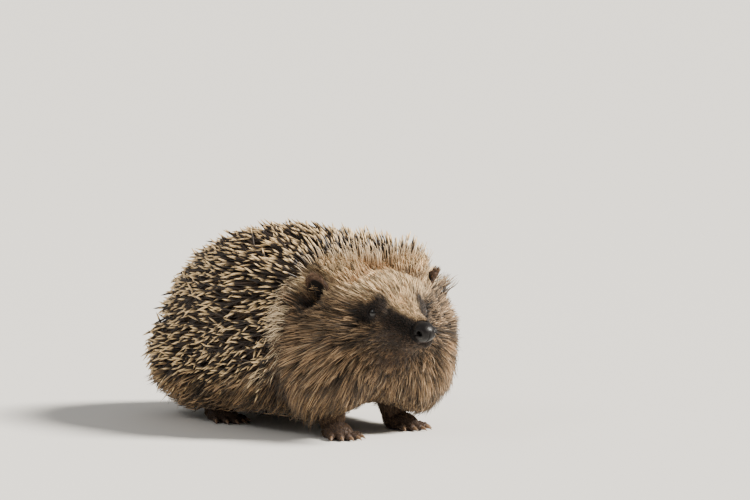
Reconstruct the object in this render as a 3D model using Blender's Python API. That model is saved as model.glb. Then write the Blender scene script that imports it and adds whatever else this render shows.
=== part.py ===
"""A young European hedgehog (Erinaceus europaeus) standing at rest, life size, as closed solids.

The solids reach out to the tips of the coat. The trunk and head are one smooth shape, found by
casting rays from the spine to a soft union of ellipsoids, and then parted with thin cuts along the
spine margin, the neck and the mouth. Metres, +X towards the nose, +Y to the animal's left, +Z up,
with the origin on the floor under the middle of the animal.
"""

import math

import bmesh
import bpy
import numpy as np
from mathutils import Matrix, Vector

# ---------------------------------------------------------------------------- driving dimensions
GAP = 0.0003  # left between neighbouring solids
FULL_TURN = 2 * math.pi

# The coat's outer surface: the centre of each form on the midline or to the left, and its radii.
MIDLINE_FORMS = {
    "barrel": ((-0.0160, 0.0, 0.0590), (0.0860, 0.0590, 0.0495)),
    "rump": ((-0.0650, 0.0, 0.0370), (0.0455, 0.0570, 0.0385)),
    "shoulders": ((0.0300, 0.0, 0.0530), (0.0420, 0.0525, 0.0400)),
    "face": ((0.0640, 0.0, 0.0620), (0.0220, 0.0200, 0.0220)),
    "muzzle": ((0.0862, 0.0, 0.0590), (0.0226, 0.0102, 0.0102)),
}
PAIRED_FORMS = {
    "brow": ((0.0460, 0.0225, 0.0880), (0.0170, 0.0215, 0.0175)),
    "ruff": ((0.0460, 0.0260, 0.0465), (0.0185, 0.0235, 0.0340)),
    "skirt": ((-0.0100, 0.0220, 0.0330), (0.0780, 0.0290, 0.0290)),
}
FORM_BLEND = 0.012  # how softly neighbouring forms run together
SKIRT_HEIGHT = 0.0050  # lower edge of the hair skirt above the floor

# Hollows in that surface, on the midline or to the left.
BELLY_HOLLOW = ((-0.0080, 0.0, 0.0), (0.0900, 0.0430, 0.0200))  # under the belly, inside the skirt
ORBIT_HOLLOW = ((0.0790, 0.0190, 0.0690), (0.0085, 0.0070, 0.0075))  # short fur round the eye
EAR_HOLLOW = ((0.0540, 0.0420, 0.0750), (0.0115, 0.0105, 0.0125))  # fur parted round the ear
SKIRT_BLEND, HOLLOW_BLEND = 0.008, 0.004

# The line inside the trunk and muzzle that the rays start from.
SPINE_REAR = (-0.0560, 0.0, 0.0560)
SPINE_FRONT = (0.0900, 0.0, 0.0590)
RINGS_REAR, RINGS_ALONG, RINGS_FRONT = 8, 32, 5
RING_POINTS = 32

# The head is turned a little to the animal's right about a line through the neck.
NECK_PIVOT_X = 0.0380
NECK_BEND_LENGTH = 0.0300
HEAD_YAW = math.radians(-11.0)

# Where the body is parted, seen from the side as (x, z).
SPINE_MARGIN = ((-0.0300, 0.0290), (0.0700, 0.0300), (0.0150, 0.0900), (0.0640, 0.0975))
MARGIN_POINTS = 18
HEAD_CUT_X = 0.0400
NECK_CUT_X = 0.0180
MOUTH = ((0.0820, 0.0512), (0.1100, 0.0552))
REACH = 0.2  # past the body on every side

NOSE_CENTRE, NOSE_RADII = (0.1034, 0.0, 0.0587), (0.0070, 0.0060, 0.0057)
NOSTRIL_CENTRE, NOSTRIL_RADII = (0.1075, 0.0040, 0.0588), (0.0026, 0.0013, 0.0012)
EYE_CENTRE, EYE_RADIUS = (0.0768, 0.0138, 0.0670), 0.0032
EAR_CENTRE, EAR_RADII = (0.0516, 0.0317, 0.0755), (0.0078, 0.0052, 0.0100)
EAR_THICKNESS = 0.0014
EAR_OUTWARD_YAW, EAR_TILT = math.radians(58.0), math.radians(-12.0)

TAIL_ROOT, TAIL_TIP = (-0.0900, 0.0, 0.0270), (-0.1060, 0.0, 0.0160)
TAIL_ROOT_RADIUS, TAIL_TIP_RADIUS = 0.0048, 0.0016

ANKLE_HEIGHT = 0.0095
LEG_TOP_HEIGHT = 0.0340
TOE_COUNT = 5
CLAW_TIP_RADIUS = 0.0004


# ---------------------------------------------------------------------------- materials
def material(name, colour, roughness, metallic=0.0):
    """A Principled material of one colour."""
    made = bpy.data.materials.new(name)
    made.use_nodes = True
    shader = made.node_tree.nodes["Principled BSDF"]
    shader.inputs["Base Color"].default_value = (*colour, 1.0)
    shader.inputs["Roughness"].default_value = roughness
    shader.inputs["Metallic"].default_value = metallic
    return made


def make_materials():
    return {
        "spines": material("spines", (0.30, 0.23, 0.16), 0.55),
        "fur": material("fur", (0.24, 0.17, 0.11), 0.85),
        "face_fur": material("face_fur", (0.42, 0.31, 0.21), 0.85),
        "skin": material("skin", (0.09, 0.06, 0.05), 0.70),
        "nose": material("nose", (0.02, 0.018, 0.018), 0.30),
        "eye": material("eye", (0.01, 0.008, 0.007), 0.05),
    }


# ---------------------------------------------------------------------------- meshes
def clear_scene():
    for old in list(bpy.data.objects):
        bpy.data.objects.remove(old, do_unlink=True)


def object_of(name, shape, surface=None):
    """An object from a bmesh, as triangles that point out, which Booleans take best."""
    bmesh.ops.recalc_face_normals(shape, faces=shape.faces)
    bmesh.ops.triangulate(shape, faces=shape.faces)
    mesh = bpy.data.meshes.new(name)
    shape.to_mesh(mesh)
    shape.free()
    mesh.shade_smooth()
    if surface is not None:
        mesh.materials.append(surface)
    made = bpy.data.objects.new(name, mesh)
    bpy.context.scene.collection.objects.link(made)
    return made


def helper(made):
    """Keeps an object as a cutter or guide, out of the model."""
    made.hide_render = True
    made.display_type = "WIRE"
    return made


def bridge_rings(shape, rings):
    """Joins rings of points into a closed tube. A ring of one point is a tip."""
    rows = [[shape.verts.new(point) for point in ring] for ring in rings]
    for row, following in zip(rows, rows[1:]):
        count = max(len(row), len(following))
        for i in range(count):
            j = (i + 1) % count
            if len(row) == 1:
                corners = (row[0], following[j], following[i])
            elif len(following) == 1:
                corners = (row[i], row[j], following[0])
            else:
                corners = (row[i], row[j], following[j], following[i])
            shape.faces.new(corners)
    for row in (rows[0], rows[-1]):
        if len(row) > 1:
            shape.faces.new(row)


def ellipsoid_shape(centre, radii, turn=Matrix.Identity(3), segments=20, rings=12):
    """A UV sphere scaled to radii and turned about its centre."""
    shape = bmesh.new()
    bmesh.ops.create_uvsphere(shape, u_segments=segments, v_segments=rings, radius=1.0)
    stretch = Matrix.Diagonal((*radii, 1.0))
    place = Matrix.Translation(centre) @ turn.to_4x4() @ stretch
    bmesh.ops.transform(shape, matrix=place, verts=shape.verts)
    return shape


def tube_shape(shape, path, radii, sides=10):
    """Adds a round tube along path, one radius for each of its points."""
    rings = []
    points = [Vector(point) for point in path]
    for i, (centre, radius) in enumerate(zip(points, radii)):
        ahead = points[min(i + 1, len(points) - 1)] - points[max(i - 1, 0)]
        across = ahead.orthogonal().normalized()
        up = ahead.cross(across).normalized()
        angles = [FULL_TURN * k / sides for k in range(sides)]
        ring = [centre + radius * (math.cos(a) * across + math.sin(a) * up) for a in angles]
        rings.append(ring)
    bridge_rings(shape, rings)


def box_shape(low, high):
    shape = bmesh.new()
    bmesh.ops.create_cube(shape, size=1.0)
    size = Vector(high) - Vector(low)
    centre = (Vector(high) + Vector(low)) / 2
    place = Matrix.Translation(centre) @ Matrix.Diagonal((*size, 1.0))
    bmesh.ops.transform(shape, matrix=place, verts=shape.verts)
    return shape


def prism_shape(outline):
    """A prism across the whole body, from an outline seen from the side as (x, z)."""
    shape = bmesh.new()
    bridge_rings(shape, [[(x, y, z) for x, z in outline] for y in (-REACH, REACH)])
    return shape


def boolean(made, operation, other, own_crossings=False):
    """A Boolean modifier. own_crossings is for an operand whose shells run into each other."""
    modifier = made.modifiers.new(f"{operation.lower()}_{other.name}", "BOOLEAN")
    modifier.operation = operation
    modifier.object = other
    modifier.solver = "EXACT"
    modifier.use_self = own_crossings


# ---------------------------------------------------------------------------- the coat's outer surface
def forms():
    """Every form as (centre, radii), with the paired ones on both sides."""
    found = list(MIDLINE_FORMS.values())
    for (x, y, z), radii in PAIRED_FORMS.values():
        found += [((x, y, z), radii), ((x, -y, z), radii)]
    return found


def sided(point, side):
    """A point on the animal's left (side 1), or its mirror image on the right (side -1)."""
    return (point[0], side * point[1], point[2])


def soft_union(a, b, blend):
    share = np.clip(0.5 + 0.5 * (b - a) / blend, 0.0, 1.0)
    return b + (a - b) * share - blend * share * (1.0 - share)


def form_distance(points, centre, radii):
    """About how far points are outside one ellipsoid, and negative inside it."""
    inner = (points - np.array(centre)) / np.array(radii)
    length = np.maximum(np.linalg.norm(inner, axis=-1), 1e-6)
    slope = np.maximum(np.linalg.norm(inner / np.array(radii), axis=-1), 1e-6)
    return length * (length - 1.0) / slope


def coat_distance(points):
    """About how far points are outside the coat, and negative inside it."""
    total = None
    for centre, radii in forms():
        form = form_distance(points, centre, radii)
        total = form if total is None else soft_union(total, form, FORM_BLEND)
    below_skirt = SKIRT_HEIGHT - points[..., 2]
    total = -soft_union(-total, -below_skirt, SKIRT_BLEND)
    total = hollowed(total, points, BELLY_HOLLOW, SKIRT_BLEND)
    for centre, radii in (ORBIT_HOLLOW, EAR_HOLLOW):
        for side in (1, -1):
            total = hollowed(total, points, (sided(centre, side), radii), HOLLOW_BLEND)
    return total


def hollowed(distance, points, hollow, blend):
    return -soft_union(-distance, form_distance(points, *hollow), blend)


def turned(points):
    """Points of the straight body, with the head's turn about the neck."""
    points = np.atleast_2d(np.array(points, float))
    share = np.clip((points[:, 0] - NECK_PIVOT_X) / NECK_BEND_LENGTH + 0.5, 0.0, 1.0)
    angle = HEAD_YAW * share * share * (3.0 - 2.0 * share)
    ahead = points[:, 0] - NECK_PIVOT_X
    moved = points.copy()
    moved[:, 0] = NECK_PIVOT_X + ahead * np.cos(angle) - points[:, 1] * np.sin(angle)
    moved[:, 1] = ahead * np.sin(angle) + points[:, 1] * np.cos(angle)
    return moved


def turned_point(point):
    return Vector(turned(point)[0])


def ray_rows():
    """Where each ring's rays start, and their angle from straight back (0) to straight ahead (pi)."""
    rear, front = Vector(SPINE_REAR), Vector(SPINE_FRONT)
    quarter = math.pi / 2
    for i in range(RINGS_REAR):
        yield rear, quarter * i / RINGS_REAR
    for i in range(RINGS_ALONG + 1):
        yield rear.lerp(front, i / RINGS_ALONG), quarter
    for i in range(1, RINGS_FRONT + 1):
        yield front, quarter * (1 + i / RINGS_FRONT)


def coat_rings():
    """Rings of points on the coat's surface, from the rump to the front of the muzzle."""
    for start, angle in ray_rows():
        tip = min(angle, math.pi - angle) < 1e-6
        turns = np.arange(1 if tip else RING_POINTS) * FULL_TURN / RING_POINTS
        ahead = np.full(len(turns), -math.cos(angle))
        across, up = math.sin(angle) * np.sin(turns), math.sin(angle) * np.cos(turns)
        directions = np.stack([ahead, across, up], axis=1)
        reach = np.zeros(len(turns))
        for _ in range(160):
            points = np.array(start) + reach[:, None] * directions
            reach -= 0.6 * coat_distance(points)
        yield turned(np.array(start) + reach[:, None] * directions)


def make_coat():
    shape = bmesh.new()
    bridge_rings(shape, list(coat_rings()))
    return helper(object_of("coat", shape))


def make_wider_coat(coat):
    """The coat grown by the gap, to cut what meets it."""
    grown = helper(object_of("wider_coat", bmesh_of(coat)))
    grow = grown.modifiers.new("grow", "DISPLACE")
    grow.strength = GAP
    grow.mid_level = 0.0
    return grown


def bmesh_of(made):
    shape = bmesh.new()
    shape.from_mesh(made.data)
    return shape


# ---------------------------------------------------------------------------- where the body is parted
def margin_line(offset):
    """The lower edge of the spines, as a cubic curve moved by offset to its upper side."""
    ends = [Vector(point) for point in SPINE_MARGIN]
    line = []
    for i in range(MARGIN_POINTS + 1):
        t = i / MARGIN_POINTS
        weights = ((1 - t) ** 3, 3 * t * (1 - t) ** 2, 3 * t * t * (1 - t), t**3)
        point = sum((w * p for w, p in zip(weights, ends)), Vector((0.0, 0.0)))
        slopes = (-((1 - t) ** 2), (1 - t) * (1 - 3 * t), t * (2 - 3 * t), t * t)
        along = sum((w * p for w, p in zip(slopes, ends)), Vector((0.0, 0.0))).normalized()
        line.append(point + offset * Vector((-along.y, along.x)))
    rear, front = line[0], line[-1]
    return [Vector((-REACH, rear.y)), *line, Vector((front.x + REACH, front.y + REACH))]


def above_margin(offset):
    line = margin_line(offset)
    return prism_shape([*line, Vector((-REACH, line[-1].y))])


def below_margin(offset):
    line = margin_line(offset)
    return prism_shape([*line, Vector((line[-1].x, -REACH)), Vector((-REACH, -REACH))])


def jaw_shape(offset):
    """The region under the mouth, from the corner of the mouth to past the chin."""
    (rear_x, rear_z), (front_x, front_z) = MOUTH
    outline = [(rear_x - offset, rear_z + offset), (front_x, front_z + offset)]
    outline += [(front_x, 0.0), (rear_x - offset, 0.0)]
    return prism_shape(outline)


# ---------------------------------------------------------------------------- head details
def ear_turn(side):
    yaw = Matrix.Rotation(HEAD_YAW - side * (math.pi / 2 - EAR_OUTWARD_YAW), 3, "Z")
    return yaw @ Matrix.Rotation(side * EAR_TILT, 3, "X")


def make_ear(name, side, surface):
    """A rounded cup of even thickness, open outwards and forwards."""
    shape = ellipsoid_shape((0.0, 0.0, 0.0), EAR_RADII, segments=16, rings=10)
    inner = [vert for vert in shape.verts if side * vert.co.y > 0.15 * EAR_RADII[1]]
    bmesh.ops.delete(shape, geom=inner, context="VERTS")
    place = Matrix.Translation(turned_point(sided(EAR_CENTRE, side))) @ ear_turn(side).to_4x4()
    bmesh.ops.transform(shape, matrix=place, verts=shape.verts)
    ear = object_of(name, shape, surface)
    thicken = ear.modifiers.new("thicken", "SOLIDIFY")
    thicken.thickness = EAR_THICKNESS
    thicken.offset = -1.0
    return ear


def pocket(name, centre, radii, turn=Matrix.Identity(3)):
    """An ellipsoid grown by the gap, for a piece to sit in."""
    wider = [radius + GAP for radius in radii]
    return helper(object_of(name, ellipsoid_shape(centre, wider, turn, 16, 10)))


def head_turn():
    return Matrix.Rotation(HEAD_YAW, 3, "Z")


def make_eye(name, side, surface):
    centre = turned_point(sided(EYE_CENTRE, side))
    radii = (EYE_RADIUS,) * 3
    return object_of(name, ellipsoid_shape(centre, radii, segments=14, rings=9), surface)


def make_nose(surface):
    shape = ellipsoid_shape(turned_point(NOSE_CENTRE), NOSE_RADII, head_turn(), 16, 10)
    nose = object_of("nose", shape, surface)
    for side, label in ((1, "left"), (-1, "right")):
        centre = turned_point(sided(NOSTRIL_CENTRE, side))
        cutter = ellipsoid_shape(centre, NOSTRIL_RADII, head_turn(), 8, 6)
        boolean(nose, "DIFFERENCE", helper(object_of(f"nostril_{label}", cutter)))
    return nose


# ---------------------------------------------------------------------------- tail and limbs
def make_tail(surface, wider_coat):
    shape = bmesh.new()
    tube_shape(shape, (TAIL_ROOT, TAIL_TIP), (TAIL_ROOT_RADIUS, TAIL_TIP_RADIUS), sides=12)
    tail = object_of("tail", shape, surface)
    boolean(tail, "DIFFERENCE", wider_coat)
    return tail


def toe_path(start, heading, length, lift):
    """A toe that arches forward to the floor and ends in a curved claw."""
    ahead = Vector((math.cos(heading), math.sin(heading), 0.0))
    shares = (0.0, 0.35, 0.64, 0.70, 0.86, 1.0)
    heights = (lift, lift * 1.05, lift * 0.80, lift * 0.95, lift * 0.80, lift * 0.20)
    return [start + ahead * (length * s) + Vector((0.0, 0.0, h)) for s, h in zip(shares, heights)]


def make_limb(name, ankle, yaw, sole, toe_length, toe_radius, toe_spread, shank):
    """Leg, foot, toes and claws as one shape. sole is its half length, half width and height."""
    ahead = Vector((math.cos(yaw), math.sin(yaw), 0.0))
    across = Vector((-math.sin(yaw), math.cos(yaw), 0.0))
    turn = Matrix.Rotation(yaw, 3, "Z")
    pad_centre = Vector((*ankle, sole[2] * 0.45)) + ahead * sole[0] * 0.55
    limb = helper(object_of(name, ellipsoid_shape(pad_centre, sole, turn, 14, 8)))

    leg = bmesh.new()
    foot_end = Vector((*ankle, sole[2] * 0.5))
    hip = Vector((*ankle, LEG_TOP_HEIGHT)) + ahead * shank[1]
    radii = (shank[0] * 0.80, shank[0] * 0.85, shank[0] * 1.5)
    tube_shape(leg, (foot_end, foot_end.lerp(hip, 0.35), hip), radii, sides=12)
    boolean(limb, "UNION", helper(object_of(f"{name}_shank", leg)))

    toes = bmesh.new()
    for i in range(TOE_COUNT):
        place = 2 * i / (TOE_COUNT - 1) - 1
        start = pad_centre + across * (place * sole[1] * 0.80)
        start += ahead * sole[0] * (0.62 - 0.30 * place * place)
        start.z = 0.0
        length = toe_length * (1.0 - 0.16 * place * place)
        path = toe_path(start, yaw + toe_spread * place, length, toe_radius * 0.95)
        shares = (1.0, 1.05, 0.85, 0.50, 0.36)
        radii = [toe_radius * share for share in shares] + [CLAW_TIP_RADIUS]
        tube_shape(toes, path, radii, sides=6)
    boolean(limb, "UNION", helper(object_of(f"{name}_toes", toes)), own_crossings=True)
    return limb


def part_limb(limb, label, surface, wider_coat):
    """The foot with its flat sole on the floor, and the leg above it up to the coat."""
    foot = object_of(f"foot_{label}", box_shape((-REACH, -REACH, 0.0), (REACH, REACH, ANKLE_HEIGHT)), surface)
    boolean(foot, "INTERSECT", limb)
    boolean(foot, "DIFFERENCE", wider_coat)
    above = box_shape((-REACH, -REACH, ANKLE_HEIGHT + GAP), (REACH, REACH, REACH))
    leg = object_of(f"leg_{label}", above, surface)
    boolean(leg, "INTERSECT", limb)
    boolean(leg, "DIFFERENCE", wider_coat)


def make_limbs(surface, wider_coat):
    fore = {"sole": (0.0100, 0.0072, 0.0058), "toe_length": 0.0125, "toe_radius": 0.0019}
    hind = {"sole": (0.0150, 0.0070, 0.0056), "toe_length": 0.0130, "toe_radius": 0.0019}
    places = {
        "front_left": ((0.0360, 0.0240), 6.0, fore, (0.0070, -0.004)),
        "front_right": ((0.0440, -0.0250), -12.0, fore, (0.0070, -0.004)),
        "hind_left": ((-0.0620, 0.0260), 14.0, hind, (0.0074, 0.004)),
        "hind_right": ((-0.0540, -0.0260), -14.0, hind, (0.0074, 0.004)),
    }
    for label, (ankle, yaw, sizes, shank) in places.items():
        limb = make_limb(f"limb_{label}", ankle, math.radians(yaw), toe_spread=0.42, shank=shank, **sizes)
        part_limb(limb, label, surface, wider_coat)


# ---------------------------------------------------------------------------- assembly
def make_body(surfaces, coat):
    """Spiny back, head, jaw, neck and trunk, cut from the one coat."""
    half = GAP / 2
    mantle = object_of("trunk_spiny", above_margin(half), surfaces["spines"])
    under = helper(object_of("below_margin", below_margin(-half)))
    slabs = {
        "head": ((HEAD_CUT_X + half, REACH), surfaces["face_fur"]),
        "neck": ((NECK_CUT_X + half, HEAD_CUT_X - half), surfaces["fur"]),
        "trunk_belly": ((-REACH, NECK_CUT_X - half), surfaces["fur"]),
    }
    made = {"trunk_spiny": mantle}
    for name, ((low, high), surface) in slabs.items():
        slab = box_shape((low, -REACH, -REACH), (high, REACH, REACH))
        made[name] = object_of(name, slab, surface)
        boolean(made[name], "INTERSECT", under)
    made["lower_jaw"] = object_of("lower_jaw", jaw_shape(0.0), surfaces["face_fur"])
    for piece in made.values():
        boolean(piece, "INTERSECT", coat)
    boolean(made["head"], "DIFFERENCE", helper(object_of("jaw_room", jaw_shape(GAP))))
    return made


def main():
    clear_scene()
    surfaces = make_materials()
    coat = make_coat()
    wider_coat = make_wider_coat(coat)
    body = make_body(surfaces, coat)

    nose_room = pocket("nose_room", turned_point(NOSE_CENTRE), NOSE_RADII, head_turn())
    make_nose(surfaces["nose"])
    for name in ("head", "lower_jaw"):
        boolean(body[name], "DIFFERENCE", nose_room)
    for side, label in ((1, "left"), (-1, "right")):
        make_eye(f"eye_{label}", side, surfaces["eye"])
        eye_centre = turned_point(sided(EYE_CENTRE, side))
        eye_room = pocket(f"eye_room_{label}", eye_centre, (EYE_RADIUS,) * 3)
        boolean(body["head"], "DIFFERENCE", eye_room)
        make_ear(f"ear_{label}", side, surfaces["skin"])
        ear_centre = turned_point(sided(EAR_CENTRE, side))
        ear_room = pocket(f"ear_room_{label}", ear_centre, EAR_RADII, ear_turn(side))
        for name in ("head", "neck", "trunk_spiny"):
            boolean(body[name], "DIFFERENCE", ear_room)
    make_tail(surfaces["fur"], wider_coat)
    make_limbs(surfaces["skin"], wider_coat)


main()
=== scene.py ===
"""The look of a European hedgehog, standing as a life-size museum model on a pale floor.

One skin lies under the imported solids' surface by the depth of the coat. Spines and fur are solid
strands that grow from it and reach out to that surface. The body is made straight and symmetric,
and then turned() moves every point with the turn of the head. Metres, +X towards the nose, +Y to
the animal's left, +Z up.
"""

import math

import bmesh
import bpy
import numpy as np
from mathutils import Matrix, Vector
from mathutils.kdtree import KDTree

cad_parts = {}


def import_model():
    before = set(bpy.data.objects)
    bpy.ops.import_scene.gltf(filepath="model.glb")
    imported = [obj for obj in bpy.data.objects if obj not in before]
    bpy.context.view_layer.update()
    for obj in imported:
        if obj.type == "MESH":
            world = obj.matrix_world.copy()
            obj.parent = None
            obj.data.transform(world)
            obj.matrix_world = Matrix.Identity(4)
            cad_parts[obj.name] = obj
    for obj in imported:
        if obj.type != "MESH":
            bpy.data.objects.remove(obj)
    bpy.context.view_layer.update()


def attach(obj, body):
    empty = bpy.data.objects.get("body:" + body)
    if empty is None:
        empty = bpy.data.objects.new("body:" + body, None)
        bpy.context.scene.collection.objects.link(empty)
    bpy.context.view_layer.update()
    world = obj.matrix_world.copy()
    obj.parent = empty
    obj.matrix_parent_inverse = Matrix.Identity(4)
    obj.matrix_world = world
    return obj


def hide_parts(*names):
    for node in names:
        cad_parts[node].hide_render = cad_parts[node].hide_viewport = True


# ---------------------------------------------------------------------------- the coat's outer surface
# The same forms as the solids have: centre on the midline or to the left, and radii.
MIDLINE_FORMS = {
    "barrel": ((-0.0160, 0.0, 0.0590), (0.0860, 0.0590, 0.0495)),
    "rump": ((-0.0650, 0.0, 0.0370), (0.0455, 0.0570, 0.0385)),
    "shoulders": ((0.0300, 0.0, 0.0530), (0.0420, 0.0525, 0.0400)),
    "face": ((0.0640, 0.0, 0.0620), (0.0220, 0.0200, 0.0220)),
    "muzzle": ((0.0862, 0.0, 0.0590), (0.0226, 0.0102, 0.0102)),
}
PAIRED_FORMS = {
    "brow": ((0.0460, 0.0225, 0.0880), (0.0170, 0.0215, 0.0175)),
    "ruff": ((0.0460, 0.0260, 0.0465), (0.0185, 0.0235, 0.0340)),
    "skirt": ((-0.0100, 0.0220, 0.0330), (0.0780, 0.0290, 0.0290)),
}
FORM_BLEND = 0.012
SKIRT_HEIGHT = 0.0050
BELLY_HOLLOW = ((-0.0080, 0.0, 0.0), (0.0900, 0.0430, 0.0200))
ORBIT_HOLLOW = ((0.0790, 0.0190, 0.0690), (0.0085, 0.0070, 0.0075))
EAR_HOLLOW = ((0.0540, 0.0420, 0.0750), (0.0115, 0.0105, 0.0125))
SKIRT_BLEND, HOLLOW_BLEND = 0.008, 0.004

SPINE_REAR, SPINE_FRONT = (-0.0560, 0.0, 0.0560), (0.0900, 0.0, 0.0590)
SPINE_MARGIN = ((-0.0300, 0.0290), (0.0700, 0.0300), (0.0150, 0.0900), (0.0640, 0.0975))
NECK_PIVOT_X, NECK_BEND_LENGTH, HEAD_YAW = 0.0380, 0.0300, math.radians(-11.0)

# ---------------------------------------------------------------------------- features of the head
NOSE_CENTRE, NOSE_RADII = (0.1034, 0.0, 0.0587), (0.0070, 0.0060, 0.0057)
NOSE_TIP = (0.1104, 0.0, 0.0587)
EYE_CENTRE, EYE_RADIUS = (0.0768, 0.0138, 0.0670), 0.0032
EYE_AXIS = (0.42, 0.86, 0.28)
EAR_CENTRE, EAR_RADII = (0.0520, 0.0343, 0.0745), (0.0074, 0.0064, 0.0118)
EAR_BOWL_RADII, EAR_BOWL_BLEND = (0.0060, 0.0074, 0.0096), 0.0012
EAR_YAW, EAR_TILT = math.radians(32.0), math.radians(-12.0)
MOUTH_LINE = ((0.0835, 0.0515), (0.1035, 0.0530))
FACE_HEIGHT = 0.0600

# ---------------------------------------------------------------------------- feet
LEG_TOP_HEIGHT = 0.0340
TOE_COUNT = 5
FORE = {"sole": (0.0100, 0.0072, 0.0058), "toe_length": 0.0125, "toe_radius": 0.0019}
HIND = {"sole": (0.0150, 0.0070, 0.0056), "toe_length": 0.0130, "toe_radius": 0.0019}
LIMBS = {
    "front_left": ((0.0360, 0.0240), math.radians(6.0), FORE, (0.0070, -0.004)),
    "front_right": ((0.0440, -0.0250), math.radians(-12.0), FORE, (0.0070, -0.004)),
    "hind_left": ((-0.0620, 0.0260), math.radians(14.0), HIND, (0.0074, 0.004)),
    "hind_right": ((-0.0540, -0.0260), math.radians(-14.0), HIND, (0.0074, 0.004)),
}
TOE_SPREAD = 0.42
SOLE_ROUNDING = 0.0007
LIMB_VOXEL = 0.0005

# ---------------------------------------------------------------------------- the photograph's view
VIEW_AZIMUTH, VIEW_ELEVATION = math.radians(50.0), math.radians(5.0)
LENS_MM, SENSOR_MM = 200.0, 36.0
IMAGE_SIZE = (750, 500)
PIXELS_PER_METRE = 1950.0
SIGHTED_POINT, SIGHTED_PIXEL = (0.1085, 0.0, 0.0585), (428.0, 334.0)

TAU = 2 * math.pi
SEED = 20261123
SIDES = ((1, "left"), (-1, "right"))


# ---------------------------------------------------------------------------- small helpers
def srgb(*values):
    """A linear colour from 0-255 screen values."""
    share = np.array(values, float) / 255.0
    return np.where(share <= 0.04045, share / 12.92, ((share + 0.055) / 1.055) ** 2.4)


def smooth(values, low, high):
    """0 below low, 1 above high, and a smooth step between. low may be the larger."""
    share = np.clip((values - low) / (high - low), 0.0, 1.0)
    return share * share * (3.0 - 2.0 * share)


def unit(vectors):
    return vectors / np.maximum(np.linalg.norm(vectors, axis=-1, keepdims=True), 1e-12)


def mixed(a, b, share):
    return a + (b - a) * share[..., None]


def mirrored(points):
    """Points moved to the animal's left."""
    return np.stack([points[..., 0], np.abs(points[..., 1]), points[..., 2]], -1)


def sided(point, side):
    """A point on the animal's left (side 1), or its mirror image on the right (side -1)."""
    return np.array((point[0], side * point[1], point[2]))


def distance_to(points, place):
    return np.linalg.norm(points - np.array(place), axis=-1)


# ---------------------------------------------------------------------------- surfaces as distances
def soft_union(a, b, blend):
    share = np.clip(0.5 + 0.5 * (b - a) / blend, 0.0, 1.0)
    return b + (a - b) * share - blend * share * (1.0 - share)


def form_distance(points, centre, radii):
    """About how far points are outside one ellipsoid, and negative inside it."""
    inner = (points - np.array(centre)) / np.array(radii)
    length = np.maximum(np.linalg.norm(inner, axis=-1), 1e-6)
    slope = np.maximum(np.linalg.norm(inner / np.array(radii), axis=-1), 1e-6)
    return length * (length - 1.0) / slope


def hollowed(distance, points, hollow, blend):
    return -soft_union(-distance, form_distance(points, *hollow), blend)


def coat_distance(points, without=()):
    """About how far points are outside the coat's tips, and negative inside them."""
    forms = list(MIDLINE_FORMS.values())
    for name, ((x, y, z), radii) in PAIRED_FORMS.items():
        if name not in without:
            forms += [((x, y, z), radii), ((x, -y, z), radii)]
    total = None
    for centre, radii in forms:
        form = form_distance(points, centre, radii)
        total = form if total is None else soft_union(total, form, FORM_BLEND)
    below_skirt = SKIRT_HEIGHT - points[..., 2]
    total = -soft_union(-total, -below_skirt, SKIRT_BLEND)
    total = hollowed(total, points, BELLY_HOLLOW, SKIRT_BLEND)
    for name, (centre, radii) in (("orbit", ORBIT_HOLLOW), ("ear", EAR_HOLLOW)):
        for side in (1, -1) if name not in without else ():
            total = hollowed(total, points, (sided(centre, side), radii), HOLLOW_BLEND)
    return total


def margin_points():
    """The lower edge of the spines, seen from the side as (x, z), from past the rump to past the brow."""
    t = np.linspace(0.0, 1.0, 25)[:, None]
    ends = np.array(SPINE_MARGIN)
    curve = (1 - t) ** 3 * ends[0] + 3 * t * (1 - t) ** 2 * ends[1]
    curve += 3 * t * t * (1 - t) * ends[2] + t**3 * ends[3]
    return np.vstack([[(-0.2, ends[0][1])], curve, [curve[-1] + 0.2]])


def above_margin(points):
    """How far points are above the lower edge of the spines, in metres, and negative below it."""
    line = margin_points()
    start, along = line[:-1], np.diff(line, axis=0)
    place = points[..., [0, 2]][..., None, :] - start
    share = np.clip((place * along).sum(-1) / (along**2).sum(-1), 0.0, 1.0)
    offset = place - share[..., None] * along
    distance = np.linalg.norm(offset, axis=-1)
    nearest = distance.argmin(-1)[..., None]
    turn = np.take_along_axis(along[:, 0] * place[..., 1] - along[:, 1] * place[..., 0], nearest, -1)
    return np.sign(turn[..., 0]) * np.take_along_axis(distance, nearest, -1)[..., 0]


def skin_depth(points):
    """How deep the skin lies under the tips of the coat."""
    x, z = points[..., 0], points[..., 2]
    face = np.interp(x, (0.030, 0.050, 0.064, 0.078, 0.090, 0.098, 0.104, 0.110),
                     (0.0056, 0.0044, 0.0030, 0.0016, 0.0011, 0.0015, 0.0024, 0.0036))
    under = 0.0055 + 0.0065 * smooth(z, 0.030, 0.008)
    body = mixed_scalar(face, under, smooth(x, 0.046, 0.026))
    spiny = np.interp(x, (-0.1, 0.030, 0.050), (0.0088, 0.0085, 0.0068))
    return mixed_scalar(body, spiny, smooth(above_margin(points), -0.006, 0.006))


def mixed_scalar(a, b, share):
    return a + (b - a) * share


# Bulges of the skin itself: under the brow's spines, round the eye, and the upper lip.
SKIN_MOUNDS = (
    ((0.0400, 0.0190, 0.0770), (0.0170, 0.0200, 0.0115), 0.010),
    ((0.0555, 0.0080, 0.0715), (0.0200, 0.0140, 0.0110), 0.010),
    ((0.0762, 0.0106, 0.0667), (0.0068, 0.0047, 0.0056), 0.004),
    ((0.0930, 0.0040, 0.0536), (0.0105, 0.0042, 0.0034), 0.004),
)


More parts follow.
